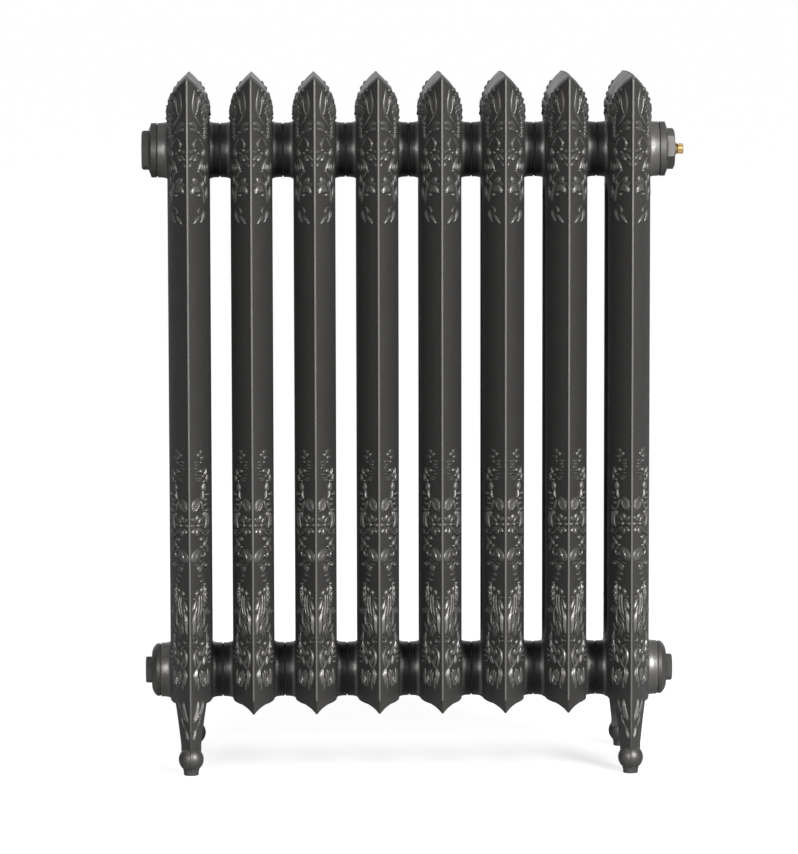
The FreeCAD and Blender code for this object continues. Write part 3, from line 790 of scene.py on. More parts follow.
@dataclass
class Casting:
    """One cast section: its plain body, its beads and its relief."""

    with_legs: bool
    arc_steps: int = 44
    side_steps: int = 14
    roof_steps: int = 21
    beak_drop: float = 8.0
    beak_half: float = 13.0
    beak_depth: float = 26.0
    ball_radius: float = 14.2
    ball_height: float = 18.0
    ball_from_ridge: float = 12.0
    pad_radius: float = 8.5
    ankle_half: float = 11.35
    ankle_height: float = 33.0
    leg_top_half: float = 17.6
    leg_shoulder: float = 9.0
    flare_rise: float = 2.6
    hub_chamfer: float = 0.6

    def half_plan(self) -> list[Point]:
        """Widths of the section, (half-width, depth), from the front ridge to the back one."""
        arc = circle_points((FORM.half_width - FORM.face_radius, FORM.widest), FORM.face_radius,
                            math.degrees(FORM.ridge_angle), 0, self.arc_steps)
        side = [(FORM.half_width, FORM.widest * (1 - 2 * i / self.side_steps)) for i in range(1, self.side_steps)]
        front = [(x, -y) for x, y in arc]
        return front + [(x, -y) for x, y in side] + [(x, y) for x, y in reversed(arc)]

    def column_body(self, low: float, high: float) -> bpy.types.Object:
        """The section's plan as an upright solid."""
        half = self.half_plan()
        outline = [Vector((x, y, low)) for x, y in half] + [Vector((-x, y, low)) for x,
                                                            y in reversed(half[1:-1])]
        return outline_solid("column_body", outline, Vector((0, 0, high - low)))

    def roofed_body(self) -> bpy.types.Object:
        """The section from its underside up, with its rounded pointed roof."""
        half = self.half_plan()
        clear_selection()
        bpy.ops.mesh.primitive_grid_add(x_subdivisions=2 * self.roof_steps, y_subdivisions=len(half) - 1,
                                        size=2)
        body = bpy.context.object
        body.name = "roofed_body"
        for vertex in body.data.vertices:
            width, y = half[round((vertex.co.y + 1) / 2 * (len(half) - 1))]
            share = abs(vertex.co.x)
            across = width * (1 - (1 - share) ** 1.8)
            x = math.copysign(max(across, 0.0), vertex.co.x)
            vertex.co = (x, y, FORM.roof(x, y))
        bpy.ops.object.mode_set(mode="EDIT")
        bpy.ops.mesh.select_all(action="SELECT")
        bpy.ops.mesh.region_to_loop()
        bpy.ops.mesh.extrude_region_move(TRANSFORM_OT_translate={"value": (0, 0, -FORM.top)})
        bpy.ops.mesh.edge_face_add()
        bpy.ops.object.mode_set(mode="OBJECT")
        for vertex in body.data.vertices:
            if vertex.co.z < FORM.underside:
                vertex.co.z = FORM.underside
        tidy_shell(body)
        return body

    def bead_plate(self) -> bpy.types.Object:
        """The thin plate whose edge is the bead along the ridges and over the roof."""
        reach = FORM.half_depth + FORM.bead_rise
        low = FORM.underside - self.beak_drop
        end = 86.0
        crown = []
        for i in range(61):
            share = 2 * i / 60 - 1
            y = -FORM.half_depth * math.copysign(1 - (1 - abs(share)) ** 2.2, share)
            step = 0.05 if abs(y) < 99.9 else 0.0
            slope = (FORM.roof(0, y + step) - FORM.roof(0, y - step)) / 0.1 if step else -math.copysign(40.0, y)
            across = Vector((-slope, 1.0)).normalized()
            proud = 0.06 + (FORM.bead_rise - 0.06) * abs(across.x)
            crown.append((y + proud * across.x, FORM.roof(0, y) + proud * across.y))
        points = [(-reach, end), (-reach + 2.5, low + 12), (-reach + 14, FORM.underside + 3)]
        points += [(reach - 14, FORM.underside + 3), (reach - 2.5, low + 12), (reach, end)] + crown
        outline = [Vector((-FORM.bead_half, y, z)) for y, z in points]
        return outline_solid("bead_plate", outline, Vector((2 * FORM.bead_half, 0, 0)))

    def slot(self) -> bpy.types.Object:
        """The open slot between the columns, with rounded ends."""
        low = FORM.lower_hub + FORM.hub_radius + FORM.slot_clear
        high = FORM.upper_hub - FORM.hub_radius - FORM.slot_clear
        side = FORM.half_width + 3
        depth = FORM.widest - FORM.slot_half
        points = [(side, -FORM.widest), (side, FORM.widest)]
        for i in range(self.arc_steps + 1):
            turn = math.pi * i / self.arc_steps
            points.append((FORM.half_width * math.cos(turn), FORM.widest - depth * math.sin(turn)))
        points += [(-side, FORM.widest), (-side, -FORM.widest)]
        for i in range(self.arc_steps + 1):
            turn = math.pi * i / self.arc_steps
            points.append((-FORM.half_width * math.cos(turn), -FORM.widest + depth * math.sin(turn)))
        gap = outline_solid("slot", [Vector((x, y, low)) for x, y in points], Vector((0, 0, high - low)))
        radius = FORM.widest
        ends = circle_points((0, high - radius), radius, 0, 180, self.arc_steps)
        ends += circle_points((0, low + radius), radius, 180, 360, self.arc_steps)
        rounded = outline_solid("slot_ends", [Vector((-side - 1, y, z)) for y, z in ends],
                                Vector((2 * side + 2, 0, 0)))
        combine(gap, rounded, "INTERSECT")
        return gap

    def hub(self, height: float) -> bpy.types.Object:
        """A joint boss with a chamfered rim, which flares towards the column."""
        radius, half, chamfer = FORM.hub_radius, FORM.hub_half, self.hub_chamfer
        profile = [(half, 0), (half, radius - chamfer), (half - chamfer, radius)]
        start = half - chamfer - 1.5
        reach = start - FORM.half_width
        for i in range(1, 11):
            turn = math.pi / 2 * i / 10
            profile.append((start - reach * math.sin(turn), radius + self.flare_rise * (1 - math.cos(turn))))
        profile.append((FORM.half_width - 2, radius + self.flare_rise))
        profile += [(-x, r) for x, r in reversed(profile)]
        return shifted(turned_solid("hub", profile), Vector((0, 0, height)))

    def beak(self, front: int) -> bpy.types.Object:
        """The hooked point under a ridge."""
        low = FORM.underside - self.beak_drop
        high = FORM.underside + 4
        tip = 1.0
        curve = []
        for i in range(17):
            share = i / 16
            x = self.beak_half + (tip - self.beak_half) * share
            curve.append((x, FORM.underside - self.beak_drop * (0.55 * share + 0.45 * share ** 3)))
        points = [(self.beak_half, high)] + curve
        points += [(-x, z) for x, z in reversed(points)]
        depth = FORM.half_depth + 4
        wedge = outline_solid("beak", [Vector((x, 0, z)) for x, z in points], Vector((0, front * depth, 0)))
        reach = FORM.half_depth + 2
        back = FORM.half_depth - self.beak_depth
        hook = [(reach, high), (reach, low)]
        for i in range(9):
            share = i / 8
            y = FORM.half_depth - 1 + (back - FORM.half_depth + 1) * share
            hook.append((y, low + self.beak_drop * share ** 0.8))
        hook.append((back, high))
        side = outline_solid("beak_side", [Vector((-FORM.half_width, front * y, z)) for y, z in hook],
                             Vector((2 * FORM.half_width, 0, 0)))
        combine(wedge, side, "INTERSECT")
        combine(wedge, self.column_body(low - 1, high + 1), "INTERSECT")
        return wedge

    def leg(self, front: int) -> bpy.types.Object:
        """A leg that follows the ridge down to a ball foot."""
        high = FORM.underside + self.leg_shoulder
        low = self.ankle_height - 9
        outline = []
        for i in range(9):
            turn = math.pi / 2 * i / 8
            across = FORM.half_width - self.leg_top_half
            outline.append((self.leg_top_half + across * (1 - math.sin(turn)),
                            FORM.underside + self.leg_shoulder * math.cos(turn)))
        for i in range(1, 11):
            share = i / 10
            x = self.leg_top_half + (self.ankle_half - self.leg_top_half) * share
            outline.append((x - 1.2 * share * (1 - share),
                            FORM.underside + (self.ankle_height - FORM.underside) * share))
        outline.append((self.ankle_half, low))
        outline += [(-x, z) for x, z in reversed(outline)]
        depth = FORM.half_depth + 4
        shank = outline_solid("leg", [Vector((x, 0, z)) for x, z in outline], Vector((0, front * depth, 0)))
        toe, heel = FORM.half_depth - 23.0, FORM.half_depth - 50.0
        profile = [(FORM.half_depth + 2, high + 1), (FORM.half_depth + 2, 48), (FORM.half_depth - 1, 34),
                   (FORM.half_depth - 3, low)]
        for i in range(13):
            share = i / 12
            profile.append((toe + (heel - toe) * share ** 2.2, low + (FORM.underside + 1 - low) * share))
        profile.append((heel, high + 1))
        side = outline_solid("leg_side", [Vector((-FORM.half_width - 1, front * y, z)) for y, z in profile],
                             Vector((2 * FORM.half_width + 2, 0, 0)))
        combine(shank, side, "INTERSECT")
        combine(shank, self.column_body(low - 1, high + 1), "INTERSECT")
        bead = [(FORM.half_depth - 12, FORM.underside + 8), (FORM.half_depth + FORM.bead_rise,
                                                             FORM.underside + 8),
                (FORM.half_depth + FORM.bead_rise, 46), (FORM.half_depth - 0.8, 34), (FORM.half_depth - 3, low),
                (FORM.half_depth - 14, low)]
        strip = outline_solid("leg_bead", [Vector((-FORM.bead_half, front * y, z)) for y, z in bead],
                              Vector((2 * FORM.bead_half, 0, 0)))
        combine(shank, strip, "UNION")
        for part in self.foot():
            place = Vector((0, front * (FORM.half_depth - self.ball_from_ridge), 0))
            combine(shank, shifted(part, place), "UNION")
        return shank

    def foot(self) -> list[bpy.types.Object]:
        """The ball, its seam and the pad under it."""
        clear_selection()
        bpy.ops.mesh.primitive_uv_sphere_add(segments=64, ring_count=32, radius=self.ball_radius)
        ball = bpy.context.object
        ball.data.transform(Matrix.Translation((0, 0, self.ball_height)))
        seam_radius = self.ball_radius + 0.65
        half = FORM.bead_half
        seam = turned_solid("seam", [(-half, 0), (-half, seam_radius - 0.4), (0, seam_radius),
                                     (half, seam_radius - 0.4), (half, 0)], 64)
        shifted(seam, Vector((0, 0, self.ball_height)))
        pad = turned_solid("pad", [(0, 0), (0, self.pad_radius - 0.6), (0.6, self.pad_radius),
                                   (4.0, self.pad_radius),
                                   (6.5, self.pad_radius + 0.8), (self.ball_height, 0)], 48)
        pad.data.transform(Matrix.Rotation(-math.pi / 2, 4, "Y"))
        return [ball, seam, pad]

    def relief(self, patterns: ReliefPatterns) -> list[bpy.types.Object]:
        """Lay the foliage on the four faces, in layers whose marks don't meet.

        Args:
            patterns: The modelled relief shapes.

        Returns:
            One object per layer.
        """
        layers: list[list[Mark]] = []
        for mark in CastFlora().marks(self.with_legs):
            free = [layer for layer in layers if not any(mark.meets(other) for other in layer)]
            if free:
                free[0].append(mark)
            else:
                layers.append([mark])
        return [self.lay(patterns, layer, i) for i, layer in enumerate(layers)]

    def lay(self, patterns: ReliefPatterns, marks: Sequence[Mark], index: int) -> bpy.types.Object:
        """Make one mesh of a layer of marks, on all four faces.

        Args:
            patterns: The modelled relief shapes.
            marks: The layer's marks.
            index: The layer's number, for its name.

        Returns:
            The layer's object.
        """
        points: list[Vector] = []
        faces: list[list[int]] = []
        for side, front in ((1, -1), (-1, -1), (1, 1), (-1, 1)):
            for mark in marks:
                base = len(points)
                mesh = patterns.get(mark.kind)
                points += [mark.lay(vertex.co, side, front) for vertex in mesh.vertices]
                faces += [[base + v for v in polygon.vertices] for polygon in mesh.polygons]
        mesh = bpy.data.meshes.new(f"relief_{index}")
        mesh.from_pydata(points, [], faces)
        layer = bpy.data.objects.new(f"relief_{index}", mesh)
        bpy.context.scene.collection.objects.link(layer)
        tidy_shell(layer, 1e-5)
        return layer

    def build(self, patterns: ReliefPatterns) -> bpy.types.Object:
        """Model the whole section round its own middle.

        Args:
            patterns: The modelled relief shapes.

        Returns:
            The section, in millimetres.
        """
        body = self.roofed_body()
        for front in (-1, 1):
            combine(body, self.leg(front) if self.with_legs else self.beak(front), "UNION")
        combine(body, self.bead_plate(), "UNION")
        combine(body, self.slot(), "DIFFERENCE")
        for height in (FORM.upper_hub, FORM.lower_hub):
            combine(body, self.hub(height), "UNION")
        for layer in self.relief(patterns):
            combine(body, layer, "UNION")
        tidy_shell(body, 0.002)
        make_active(body)
        bpy.ops.object.shade_smooth_by_angle(angle=math.radians(34))
        return body


# ---------------------------------------------------------------- finishes


@dataclass
class NodeBench:
    """Adds and joins shader nodes in one tree."""

    tree: bpy.types.NodeTree

    def add(self, kind: str, **settings: object) -> bpy.types.Node:
        """Add a node and set its properties.

        Args:
            kind: The node's type name.
            **settings: Properties to set on it.

        Returns:
            The node.
        """
        node = self.tree.nodes.new(kind)
        for name, value in settings.items():
            setattr(node, name, value)
        return node

    def join(self, source: bpy.types.NodeSocket, target: bpy.types.NodeSocket) -> None:
        """Link two sockets."""
        self.tree.links.new(source, target)

    def noise(self, place: bpy.types.NodeSocket, scale: float, detail: float = 4.0,
              rough: float = 0.55) -> bpy.types.NodeSocket:
        """Fractal noise over a surface.

        Args:
            place: Coordinates, in metres.
            scale: Features to a metre.
            detail: Octaves.
            rough: Weight of the finer octaves.

        Returns:
            The noise value.
        """
        node = self.add("ShaderNodeTexNoise")
        node.inputs["Scale"].default_value = scale
        node.inputs["Detail"].default_value = detail
        node.inputs["Roughness"].default_value = rough
        self.join(place, node.inputs["Vector"])
        return node.outputs[0]

    def sum(self, operation: str, first: object, second: object, clamp: bool = False) -> bpy.types.NodeSocket:
        """A maths node whose operands are sockets or numbers.

        Args:
            operation: Name of the operation.
            first: First operand.
            second: Second operand.
            clamp: Whether the result is kept between 0 and 1.

        Returns:
            The result.
        """
        node = self.add("ShaderNodeMath", operation=operation, use_clamp=clamp)
        for i, operand in enumerate((first, second)):
            if isinstance(operand, bpy.types.NodeSocket):
                self.join(operand, node.inputs[i])
            else:
                node.inputs[i].default_value = operand
        return node.outputs[0]

    def ramp(self, value: bpy.types.NodeSocket, low: float, high: float,
             start: object = 0.0, end: object = 1.0) -> bpy.types.NodeSocket:
        """Map a range of values to another, held at both ends.

        Args:
            value: The value to map.
            low: Where the range starts.
            high: Where it ends.
            start: Result at the start.
            end: Result at the end.

        Returns:
            The mapped value.
        """
        node = self.add("ShaderNodeMapRange", interpolation_type="SMOOTHSTEP")
        self.join(value, node.inputs["Value"])
        for name, number in (("From Min", low), ("From Max", high), ("To Min", start), ("To Max", end)):
            if isinstance(number, bpy.types.NodeSocket):
                self.join(number, node.inputs[name])
            else:
                node.inputs[name].default_value = number
        return node.outputs[0]

    def blend(self, share: bpy.types.NodeSocket, first: object, second: object) -> bpy.types.NodeSocket:
        """Blend two colours.

        Args:
            share: How much of the second.
            first: First colour, a socket or three numbers.
            second: Second colour.

        Returns:
            The blended colour.
        """
        node = self.add("ShaderNodeMix", data_type="RGBA")
        self.join(share, node.inputs[0])
        for socket, colour in ((node.inputs[6], first), (node.inputs[7], second)):
            if isinstance(colour, bpy.types.NodeSocket):
                self.join(colour, socket)
            else:
                socket.default_value = (*colour, 1.0)
        return node.outputs[2]


class SharedEffect(Enum):
    """Effects that several finishes use."""

    SAND_GRAIN = "sand_grain"
    HANDLING_WEAR = "wear_and_hollow_shade"


def shared_effect(effect: SharedEffect) -> bpy.types.NodeTree:
    """The node group of an effect, made the first time it is asked for.

    Args:
        effect: Which effect.

    Returns:
        Its group.
    """
    if effect.value in bpy.data.node_groups:
        return bpy.data.node_groups[effect.value]
    group = bpy.data.node_groups.new(effect.value, "ShaderNodeTree")
    if effect is SharedEffect.SAND_GRAIN:
        fill_sand_grain(group)
    else:
        fill_wear_and_hollow_shade(group)
    return group


def open_group(group: bpy.types.NodeTree, inputs: dict[str, float],
               outputs: Sequence[str]) -> tuple[NodeBench, bpy.types.Node, bpy.types.Node]:
    """Make a group's sockets and its two end nodes.

    Args:
        group: The empty group.
        inputs: Names and usual values of its number inputs.
        outputs: Names of its number outputs.

    Returns:
        The bench, the input node and the output node.
    """
    for name, value in inputs.items():
        socket = group.interface.new_socket(name, in_out="INPUT", socket_type="NodeSocketFloat")
        socket.default_value = value
    for name in outputs:
        group.interface.new_socket(name, in_out="OUTPUT", socket_type="NodeSocketFloat")
    bench = NodeBench(group)
    return bench, bench.add("NodeGroupInput"), bench.add("NodeGroupOutput")


def fill_sand_grain(group: bpy.types.NodeTree) -> None:
    """Fine grain, small pits and broad unevenness of iron cast in sand.

    Args:
        group: The group to fill.
    """
    bench, given, result = open_group(group, {"Fineness": 900.0, "Pitting": 0.5}, ("Height", "Tone"))
    place = bench.add("ShaderNodeTexCoord").outputs["Object"]
    grain = bench.noise(place, 900.0, 5.0, 0.62)
    bench.join(given.outputs["Fineness"], grain.node.inputs["Scale"])
    broad = bench.noise(place, 42.0, 3.0)
    pits = bench.add("ShaderNodeTexVoronoi", feature="F1")
    pits.inputs["Scale"].default_value = 310.0
    bench.join(place, pits.inputs["Vector"])
    pit = bench.ramp(pits.outputs["Distance"], 0.06, 0.3, 1.0, 0.0)
    pit = bench.sum("MULTIPLY", pit, given.outputs["Pitting"])
    height = bench.sum("ADD", grain, bench.sum("MULTIPLY", broad, 0.9))
    height = bench.sum("SUBTRACT", height, pit)
    bench.join(height, result.inputs["Height"])
    cloud = bench.sum("ADD", bench.sum("MULTIPLY", broad, 0.55), bench.sum("MULTIPLY", grain, 0.45))
    bench.join(bench.ramp(cloud, 0.32, 0.68), result.inputs["Tone"])


def fill_wear_and_hollow_shade(group: bpy.types.NodeTree) -> None:
    """Rubbed crests, which are wear, and painted shade on the low places between them, from the height of the
    relief.

    Args:
        group: The group to fill.
    """
    bench, given, result = open_group(group, {"Relief": 0.0, "Patchiness": 0.5}, ("Crest", "Hollow Shade"))
    place = bench.add("ShaderNodeTexCoord").outputs["Object"]
    broad = bench.sum("MULTIPLY", bench.noise(place, 130.0, 4.0, 0.6), 0.4)
    patches = bench.sum("ADD", broad, bench.sum("MULTIPLY", bench.noise(place, 950.0, 2.0, 0.6), 0.6))
    uneven = bench.sum("MULTIPLY", bench.sum("SUBTRACT", patches, 0.5), given.outputs["Patchiness"])
    raised = bench.sum("ADD", given.outputs["Relief"], uneven)
    bench.join(bench.ramp(raised, 0.2, 0.8), result.inputs["Crest"])
    # painted shade: the low places below the crests are marked for darkening
    bench.join(bench.ramp(raised, 0.3, 0.02), result.inputs["Hollow Shade"])


@dataclass(frozen=True)
class CastIron:
    """Blackleaded cast iron with a sandy grain, rubbed bright on its high places, with shade painted on its low
    places and where it is hidden between sections.
    """

    name: str = "cast_iron"
    body: tuple[float, float, float] = (0.092, 0.09, 0.087)
    # colour of the painted shade on the low places
    hollow_shade: tuple[float, float, float] = (0.07, 0.068, 0.066)
    crest: tuple[float, float, float] = (0.145, 0.142, 0.138)
    # near-black colour of the shade painted between sections
    gap_shade_colour: tuple[float, float, float] = (0.009, 0.0088, 0.0085)
    metallic: float = 0.6
    roughness: float = 0.42
    fineness: float = 900.0
    pitting: float = 0.5
    grain_depth: float = 0.00012

    def make(self) -> bpy.types.Material:
        """Make the material, which reads the attribute "relief" where a piece has it."""
        material, bench, shader = new_material(self.name)
        grain = bench.add("ShaderNodeGroup", node_tree=shared_effect(SharedEffect.SAND_GRAIN))
        grain.inputs["Fineness"].default_value = self.fineness
        grain.inputs["Pitting"].default_value = self.pitting
        relief = bench.add("ShaderNodeAttribute", attribute_name="relief")
        wear_and_shade = bench.add("ShaderNodeGroup", node_tree=shared_effect(SharedEffect.HANDLING_WEAR))
        bench.join(relief.outputs["Fac"], wear_and_shade.inputs["Relief"])
        # painted shade: the low places between the relief take the darker hollow colour
        colour = bench.blend(wear_and_shade.outputs["Hollow Shade"], self.body, self.hollow_shade)
        colour = bench.blend(wear_and_shade.outputs["Crest"], colour, self.crest)
        shade = tuple(0.62 * c for c in self.body)
        tone = bench.sum("MULTIPLY", bench.ramp(grain.outputs["Tone"], 0.0, 1.0, 1.0, 0.0), 0.55)
        colour = bench.blend(tone, colour, shade)
        painted_gap_shade = bench.add("ShaderNodeAttribute", attribute_name="painted_gap_shade").outputs["Fac"]
        # painted shade: places hidden between neighbouring sections are darkened to near black
        colour = bench.blend(painted_gap_shade, colour, self.gap_shade_colour)
        bench.join(colour, shader.inputs["Base Color"])
        rough = bench.ramp(grain.outputs["Tone"], 0.0, 1.0, self.roughness + 0.09, self.roughness - 0.05)
        bench.join(bench.sum("SUBTRACT", rough, bench.sum("MULTIPLY", wear_and_shade.outputs["Crest"], 0.06)),
                   shader.inputs["Roughness"])
        shader.inputs["Metallic"].default_value = self.metallic
        bump = bench.add("ShaderNodeBump")
        bump.inputs["Strength"].default_value = 1.0
        bump.inputs["Distance"].default_value = self.grain_depth
        bench.join(grain.outputs["Height"], bump.inputs["Height"])
        bench.join(bump.outputs["Normal"], shader.inputs["Normal"])
        return material


@dataclass(frozen=True)
class MachinedMetal:
    """Turned metal with fine tool marks round the X axis and light tarnish."""

    name: str
    bright: tuple[float, float, float]
    tarnish: tuple[float, float, float]
    roughness: float
    metallic: float = 1.0
    marks_per_metre: float = 2600.0
    mark_depth: float = 0.00002

    def make(self) -> bpy.types.Material:
        """Make the material."""
        material, bench, shader = new_material(self.name)
        grain = bench.add("ShaderNodeGroup", node_tree=shared_effect(SharedEffect.SAND_GRAIN))
        grain.inputs["Fineness"].default_value = 700.0
        grain.inputs["Pitting"].default_value = 0.15
        colour = bench.blend(grain.outputs["Tone"], self.tarnish, self.bright)
        bench.join(colour, shader.inputs["Base Color"])
        bench.join(bench.ramp(grain.outputs["Tone"], 0.0, 1.0, self.roughness + 0.14, self.roughness),
                   shader.inputs["Roughness"])
        shader.inputs["Metallic"].default_value = self.metallic
        place = bench.add("ShaderNodeTexCoord").outputs["Object"]
        marks = bench.add("ShaderNodeTexWave", wave_type="BANDS", bands_direction="X")
        marks.inputs["Scale"].default_value = self.marks_per_metre / 6.0
        marks.inputs["Distortion"].default_value = 0.6
        bench.join(place, marks.inputs["Vector"])
        height = bench.sum("ADD", marks.outputs["Fac"], grain.outputs["Height"])
        bump = bench.add("ShaderNodeBump")
        bump.inputs["Strength"].default_value = 1.0
        bump.inputs["Distance"].default_value = self.mark_depth
        bench.join(height, bump.inputs["Height"])
        bench.join(bump.outputs["Normal"], shader.inputs["Normal"])
        return material


@dataclass(frozen=True)
class PlainSolid:
    """A matt material such as fibre or rubber, with mottled tone and grain."""

    name: str
    light: tuple[float, float, float]
    dark: tuple[float, float, float]
    roughness: float
    scale: float = 700.0

    def make(self) -> bpy.types.Material:
        """Make the material."""
        material, bench, shader = new_material(self.name)
        place = bench.add("ShaderNodeTexCoord").outputs["Object"]
        fibre = bench.noise(place, self.scale, 6.0, 0.7)
        bench.join(bench.blend(bench.ramp(fibre, 0.35, 0.65), self.dark, self.light),
                   shader.inputs["Base Color"])
        bench.join(bench.ramp(fibre, 0.3, 0.7, self.roughness + 0.1, self.roughness),
                   shader.inputs["Roughness"])
        bump = bench.add("ShaderNodeBump")
        bump.inputs["Strength"].default_value = 0.6
        bump.inputs["Distance"].default_value = 0.0001
        bench.join(fibre, bump.inputs["Height"])
        bench.join(bump.outputs["Normal"], shader.inputs["Normal"])
        return material


def new_material(name: str) -> tuple[bpy.types.Material, NodeBench, bpy.types.Node]:
    """Start a material.

    Args:
        name: Its name.

    Returns:
        The material, its bench and its Principled shader.
    """
    material = bpy.data.materials.new(name)
    material.use_nodes = True
    shader = material.node_tree.nodes["Principled BSDF"]
    return material, NodeBench(material.node_tree), shader


@dataclass
class FinishShelf:
    """Every finish of the radiator, made once."""

    made: dict[str, bpy.types.Material] = field(default_factory=dict)

    def recipes(self) -> dict[str, CastIron | MachinedMetal | PlainSolid]:
        """The finish of each material slot in the record."""
        return {
            "section_iron": CastIron(),
            "plug_iron": CastIron(name="plug_casting", body=(0.1, 0.098, 0.095), hollow_shade=(0.085, 0.083, 0.08),
                                  crest=(0.2, 0.195, 0.19), roughness=0.42, pitting=0.3, grain_depth=0.00008),
            "nipple_iron": MachinedMetal("machined_iron", (0.3, 0.29, 0.28), (0.16, 0.15, 0.14), 0.38),
            "gasket_fibre": PlainSolid("gasket_fibre", (0.07, 0.065, 0.06), (0.03, 0.028, 0.026), 0.8),
            "vent_brass": MachinedMetal("turned_brass", (0.6, 0.42, 0.2), (0.3, 0.19, 0.075), 0.3),
            "seal_rubber": PlainSolid("seal_rubber", (0.03, 0.03, 0.03), (0.015, 0.015, 0.015), 0.6),
        }

    def get(self, slot: str) -> bpy.types.Material:
        """The material of a slot, made the first time it is asked for."""
        if slot not in self.made:
            self.made[slot] = self.recipes()[slot].make()
        return self.made[slot]


# ---------------------------------------------------------------- assembly


@dataclass
class SectionRow:
    """The eight cast sections, each standing for its CAD node."""

    finishes: FinishShelf
    count: int = 8
    painted_gap_shade: float = 0.92
    gap_shade_reach: float = 4.0

    def place(self, node: str) -> Matrix:
        """Where a section stands, in millimetres."""
        low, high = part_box(node)
        return Matrix.Translation(((low[0] + high[0]) / 2 / MILLI, (low[1] + high[1]) / 2 / MILLI, 0.0))

    def mark_relief(self, piece: bpy.types.Object) -> None:
        """Store how far each point stands out of the plain casting, for the wear on the crests and the painted
        shade on the low places.

        Args:
            piece: A section round its own middle, in millimetres.
        """
        values = []
        for vertex in piece.data.vertices:
            x, y, z = vertex.co
            rise = -FORM.inside(x, y)
            if z > FORM.spring - 12:
                rise = max(rise, 0.6 * (z - FORM.roof(x, y)))
            if z < FORM.underside - 2:
                rise = min(rise, 0.3)
            values.append(min(max(rise / 2.3, 0.0), 1.0))
        attribute = piece.data.attributes.new("relief", "FLOAT", "POINT")
        attribute.data.foreach_set("value", values)

    def mark_gap_shade(self, piece: bpy.types.Object, node: str, index: int) -> None:
        """Store where a placed section is hidden between its neighbours, where shade is painted dark.

        Args:
            piece: The section, in metres.
            node: Its CAD node.
            index: Its number, from the left.
        """
        middle = self.place(node).translation.x
        values = []
        for vertex in piece.data.vertices:
            across = vertex.co.x / MILLI - middle
            open_side = (index == 1 and across < 0) or (index == self.count and across > 0)
            gap = (abs(across) - FORM.half_width - 1.0) / self.gap_shade_reach
            # painted shade: none on the open outer sides of the end sections, rising towards the gaps between
            # sections
            values.append(0.0 if open_side else self.painted_gap_shade * min(max(gap, 0.0), 1.0))
        attribute = piece.data.attributes.new("painted_gap_shade", "FLOAT", "POINT")
        attribute.data.foreach_set("value", values)

    def build(self) -> None:
        """Cast the two kinds of section once and stand a copy at each place."""
        patterns = ReliefPatterns()
        castings = {}
        for with_legs in (True, False):
            casting = Casting(with_legs=with_legs).build(patterns)
            self.mark_relief(casting)
            castings[with_legs] = casting
            log.info("casting %s: %d faces", "with legs" if with_legs else "plain",
                     len(casting.data.polygons))
        patterns.discard()
        for i in range(1, self.count + 1):
            node = f"section_{i}"
            at_end = i in (1, self.count)
            piece = finished_copy(castings[at_end], f"cast_{node}", self.place(node))
            self.mark_gap_shade(piece, node, i)
            piece.data.materials.clear()
            piece.data.materials.append(self.finishes.get("section_iron"))
            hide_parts(node)
            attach(piece, "radiator")
            log.info("%s stands at x = %.1f mm", piece.name, self.place(node).translation.x)
        for casting in castings.values():
            bpy.data.objects.remove(casting)


@dataclass
class JointHardware:
    """The nipples, gaskets, plugs, bushes and vent that keep their CAD shape."""

    finishes: FinishShelf
    nodes: dict[str, bpy.types.Object]

    def slot_for(self, node: str) -> str:
        """The material slot of a node, by its kind."""
        for word, slot in (("nipple", "nipple_iron"), ("gasket", "gasket_fibre"), ("seal", "seal_rubber"),
                           ("vent", "vent_brass"), ("plug", "plug_iron"), ("bush", "plug_iron")):
            if word in node:
                return slot
        return "section_iron"

    def dress(self) -> None:
        """Give each node its finish."""
        for name, node in self.nodes.items():
            material = self.finishes.get(self.slot_for(name))
            for slot in node.material_slots:
                slot.material = material
            log.info("%s is finished in %s", name, material.name)


# ---------------------------------------------------------------- studio


@dataclass(frozen=True)
class Lamp:
    """A soft box: where it stands and points, in metres, its width and height, and its power in watts."""

    name: str
    place: tuple[float, float, float]
    aim: tuple[float, float, float]
    size: tuple[float, float]
    power: float


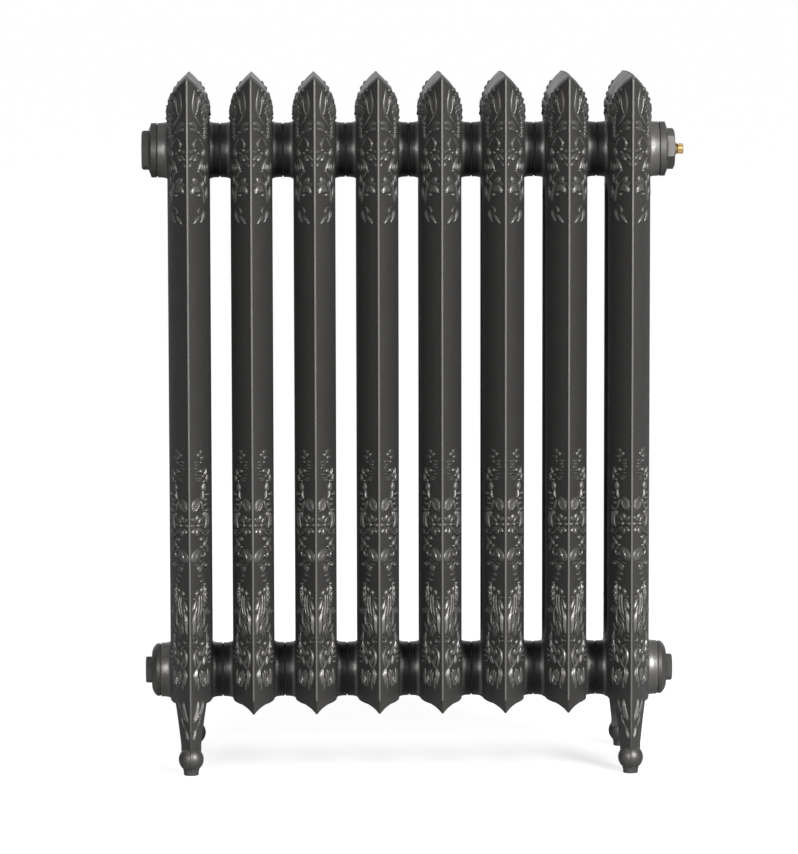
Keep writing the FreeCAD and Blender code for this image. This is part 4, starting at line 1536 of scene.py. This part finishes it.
@dataclass
class Studio:
    """A pale floor, soft lights and the camera."""

    camera_place: tuple[float, float, float] = (-0.15085, -6.0253, 1.1011)
    pitch: float = 6.76
    yaw: float = 1.28
    roll: float = -0.11
    lens: float = 223.3
    floor_size: float = 60.0
    floor_glow: float = 0.87
    shade_depth: float = 0.22
    shade_across: tuple[float, float] = (0.22, 0.33)
    shade_middle: tuple[float, float] = (0.012, 0.01)
    shade_back: float = 0.15
    surround: float = 1.0
    flagged: float = 0.05
    flag_start: float = 0.4
    flag_end: float = 0.75
    top_share: float = 0.35
    top_start: float = 0.3
    top_end: float = 0.8
    floor_tone: float = 0.3
    lamps: tuple[Lamp, ...] = (
        Lamp("key", (2.0, -2.9, 1.7), (0, 0, 0.4), (1.2, 1.8), 255.0),
        Lamp("fill", (-1.6, -4.2, 1.3), (0, 0, 0.4), (1.2, 1.2), 115.0),
        Lamp("overhead", (0, 0.3, 3.2), (0, 0, 0), (2.5, 2.0), 5.0),
    )

    def floor(self) -> None:
        """A wide pale floor that glows evenly for the camera, with a soft shadow painted into its glow under the
        radiator.
        """
        clear_selection()
        bpy.ops.mesh.primitive_plane_add(size=self.floor_size, location=(0, 0, 0))
        floor = bpy.context.object
        floor.name = "floor"
        material, bench, shader = new_material("pale_floor")
        shader.inputs["Base Color"].default_value = (self.floor_tone, self.floor_tone, self.floor_tone, 1)
        shader.inputs["Roughness"].default_value = 0.9
        shader.inputs["Specular IOR Level"].default_value = 0.1
        shader.inputs["Emission Color"].default_value = (1, 1, 1, 1)
        split = bench.add("ShaderNodeSeparateXYZ")
        bench.join(bench.add("ShaderNodeTexCoord").outputs["Object"], split.inputs[0])
        across = bench.sum("ABSOLUTE", bench.sum("SUBTRACT", split.outputs[0], self.shade_middle[0]), 0.0)
        back = bench.sum("ABSOLUTE", bench.sum("SUBTRACT", split.outputs[1], self.shade_middle[1]), 0.0)
        # painted shadow: a soft band under the radiator where the glow is lowered
        shade = bench.sum("MULTIPLY", bench.ramp(across, *self.shade_across, self.shade_depth, 0.0),
                          bench.ramp(back, 0.0, self.shade_back, 1.0, 0.0))
        glow = bench.sum("SUBTRACT", self.floor_glow, shade)
        seen = bench.add("ShaderNodeLightPath").outputs["Is Camera Ray"]
        bench.join(bench.sum("MULTIPLY", seen, glow), shader.inputs["Emission Strength"])
        floor.data.materials.append(material)

    def world(self) -> None:
        """A soft white surround, darker to the sides and above."""
        world = bpy.data.worlds.new("surround")
        world.use_nodes = True
        bench = NodeBench(world.node_tree)
        background = world.node_tree.nodes["Background"]
        background.inputs["Color"].default_value = (1.0, 1.0, 1.0, 1)
        split = bench.add("ShaderNodeSeparateXYZ")
        bench.join(bench.add("ShaderNodeTexCoord").outputs["Generated"], split.inputs[0])
        sideways = bench.sum("ABSOLUTE", split.outputs[0], 0.0)
        level = bench.ramp(sideways, self.flag_start, self.flag_end, self.surround, self.flagged)
        above = bench.ramp(split.outputs[2], self.top_start, self.top_end, 1.0, self.top_share)
        around = bench.sum("MULTIPLY", level, above)
        seen = bench.add("ShaderNodeLightPath").outputs["Is Camera Ray"]
        bench.join(bench.ramp(seen, 0.0, 1.0, around, 1.0), background.inputs["Strength"])
        bpy.context.scene.world = world

    def light(self, lamp: Lamp) -> None:
        """Stand one lamp up as an area light.

        Args:
            lamp: The lamp.
        """
        data = bpy.data.lights.new(lamp.name, "AREA")
        data.shape = "RECTANGLE"
        data.size, data.size_y = lamp.size
        data.energy = lamp.power
        light = bpy.data.objects.new(lamp.name, data)
        light.location = lamp.place
        light.rotation_euler = (Vector(lamp.aim) - Vector(lamp.place)).to_track_quat("-Z", "Y").to_euler()
        bpy.context.scene.collection.objects.link(light)

    def camera(self) -> None:
        """The camera, a long lens a little above the radiator."""
        data = bpy.data.cameras.new("camera")
        data.lens = self.lens
        data.sensor_width = 36.0
        data.clip_end = 100.0
        camera = bpy.data.objects.new("camera", data)
        bpy.context.scene.collection.objects.link(camera)
        pitch, yaw, roll = (math.radians(a) for a in (self.pitch, self.yaw, self.roll))
        forward = Vector((math.sin(yaw) * math.cos(pitch), math.cos(yaw) * math.cos(pitch), -math.sin(pitch)))
        right = Vector((math.cos(yaw), -math.sin(yaw), 0))
        up = right.cross(forward)
        across = math.cos(roll) * right + math.sin(roll) * up
        upright = math.cos(roll) * up - math.sin(roll) * right
        turn = Matrix((across, upright, -forward)).transposed().to_4x4()
        camera.matrix_world = Matrix.Translation(self.camera_place) @ turn
        bpy.context.scene.camera = camera

    def build(self) -> None:
        """Set up the whole studio."""
        self.floor()
        self.world()
        for lamp in self.lamps:
            self.light(lamp)
        self.camera()


def main() -> None:
    """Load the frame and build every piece."""
    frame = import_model()
    finishes = FinishShelf()
    JointHardware(finishes, frame["nodes"]).dress()
    SectionRow(finishes).build()
    Studio().build()
    bpy.context.scene.view_settings.view_transform = "Standard"


if __name__ == "__main__":
    main()
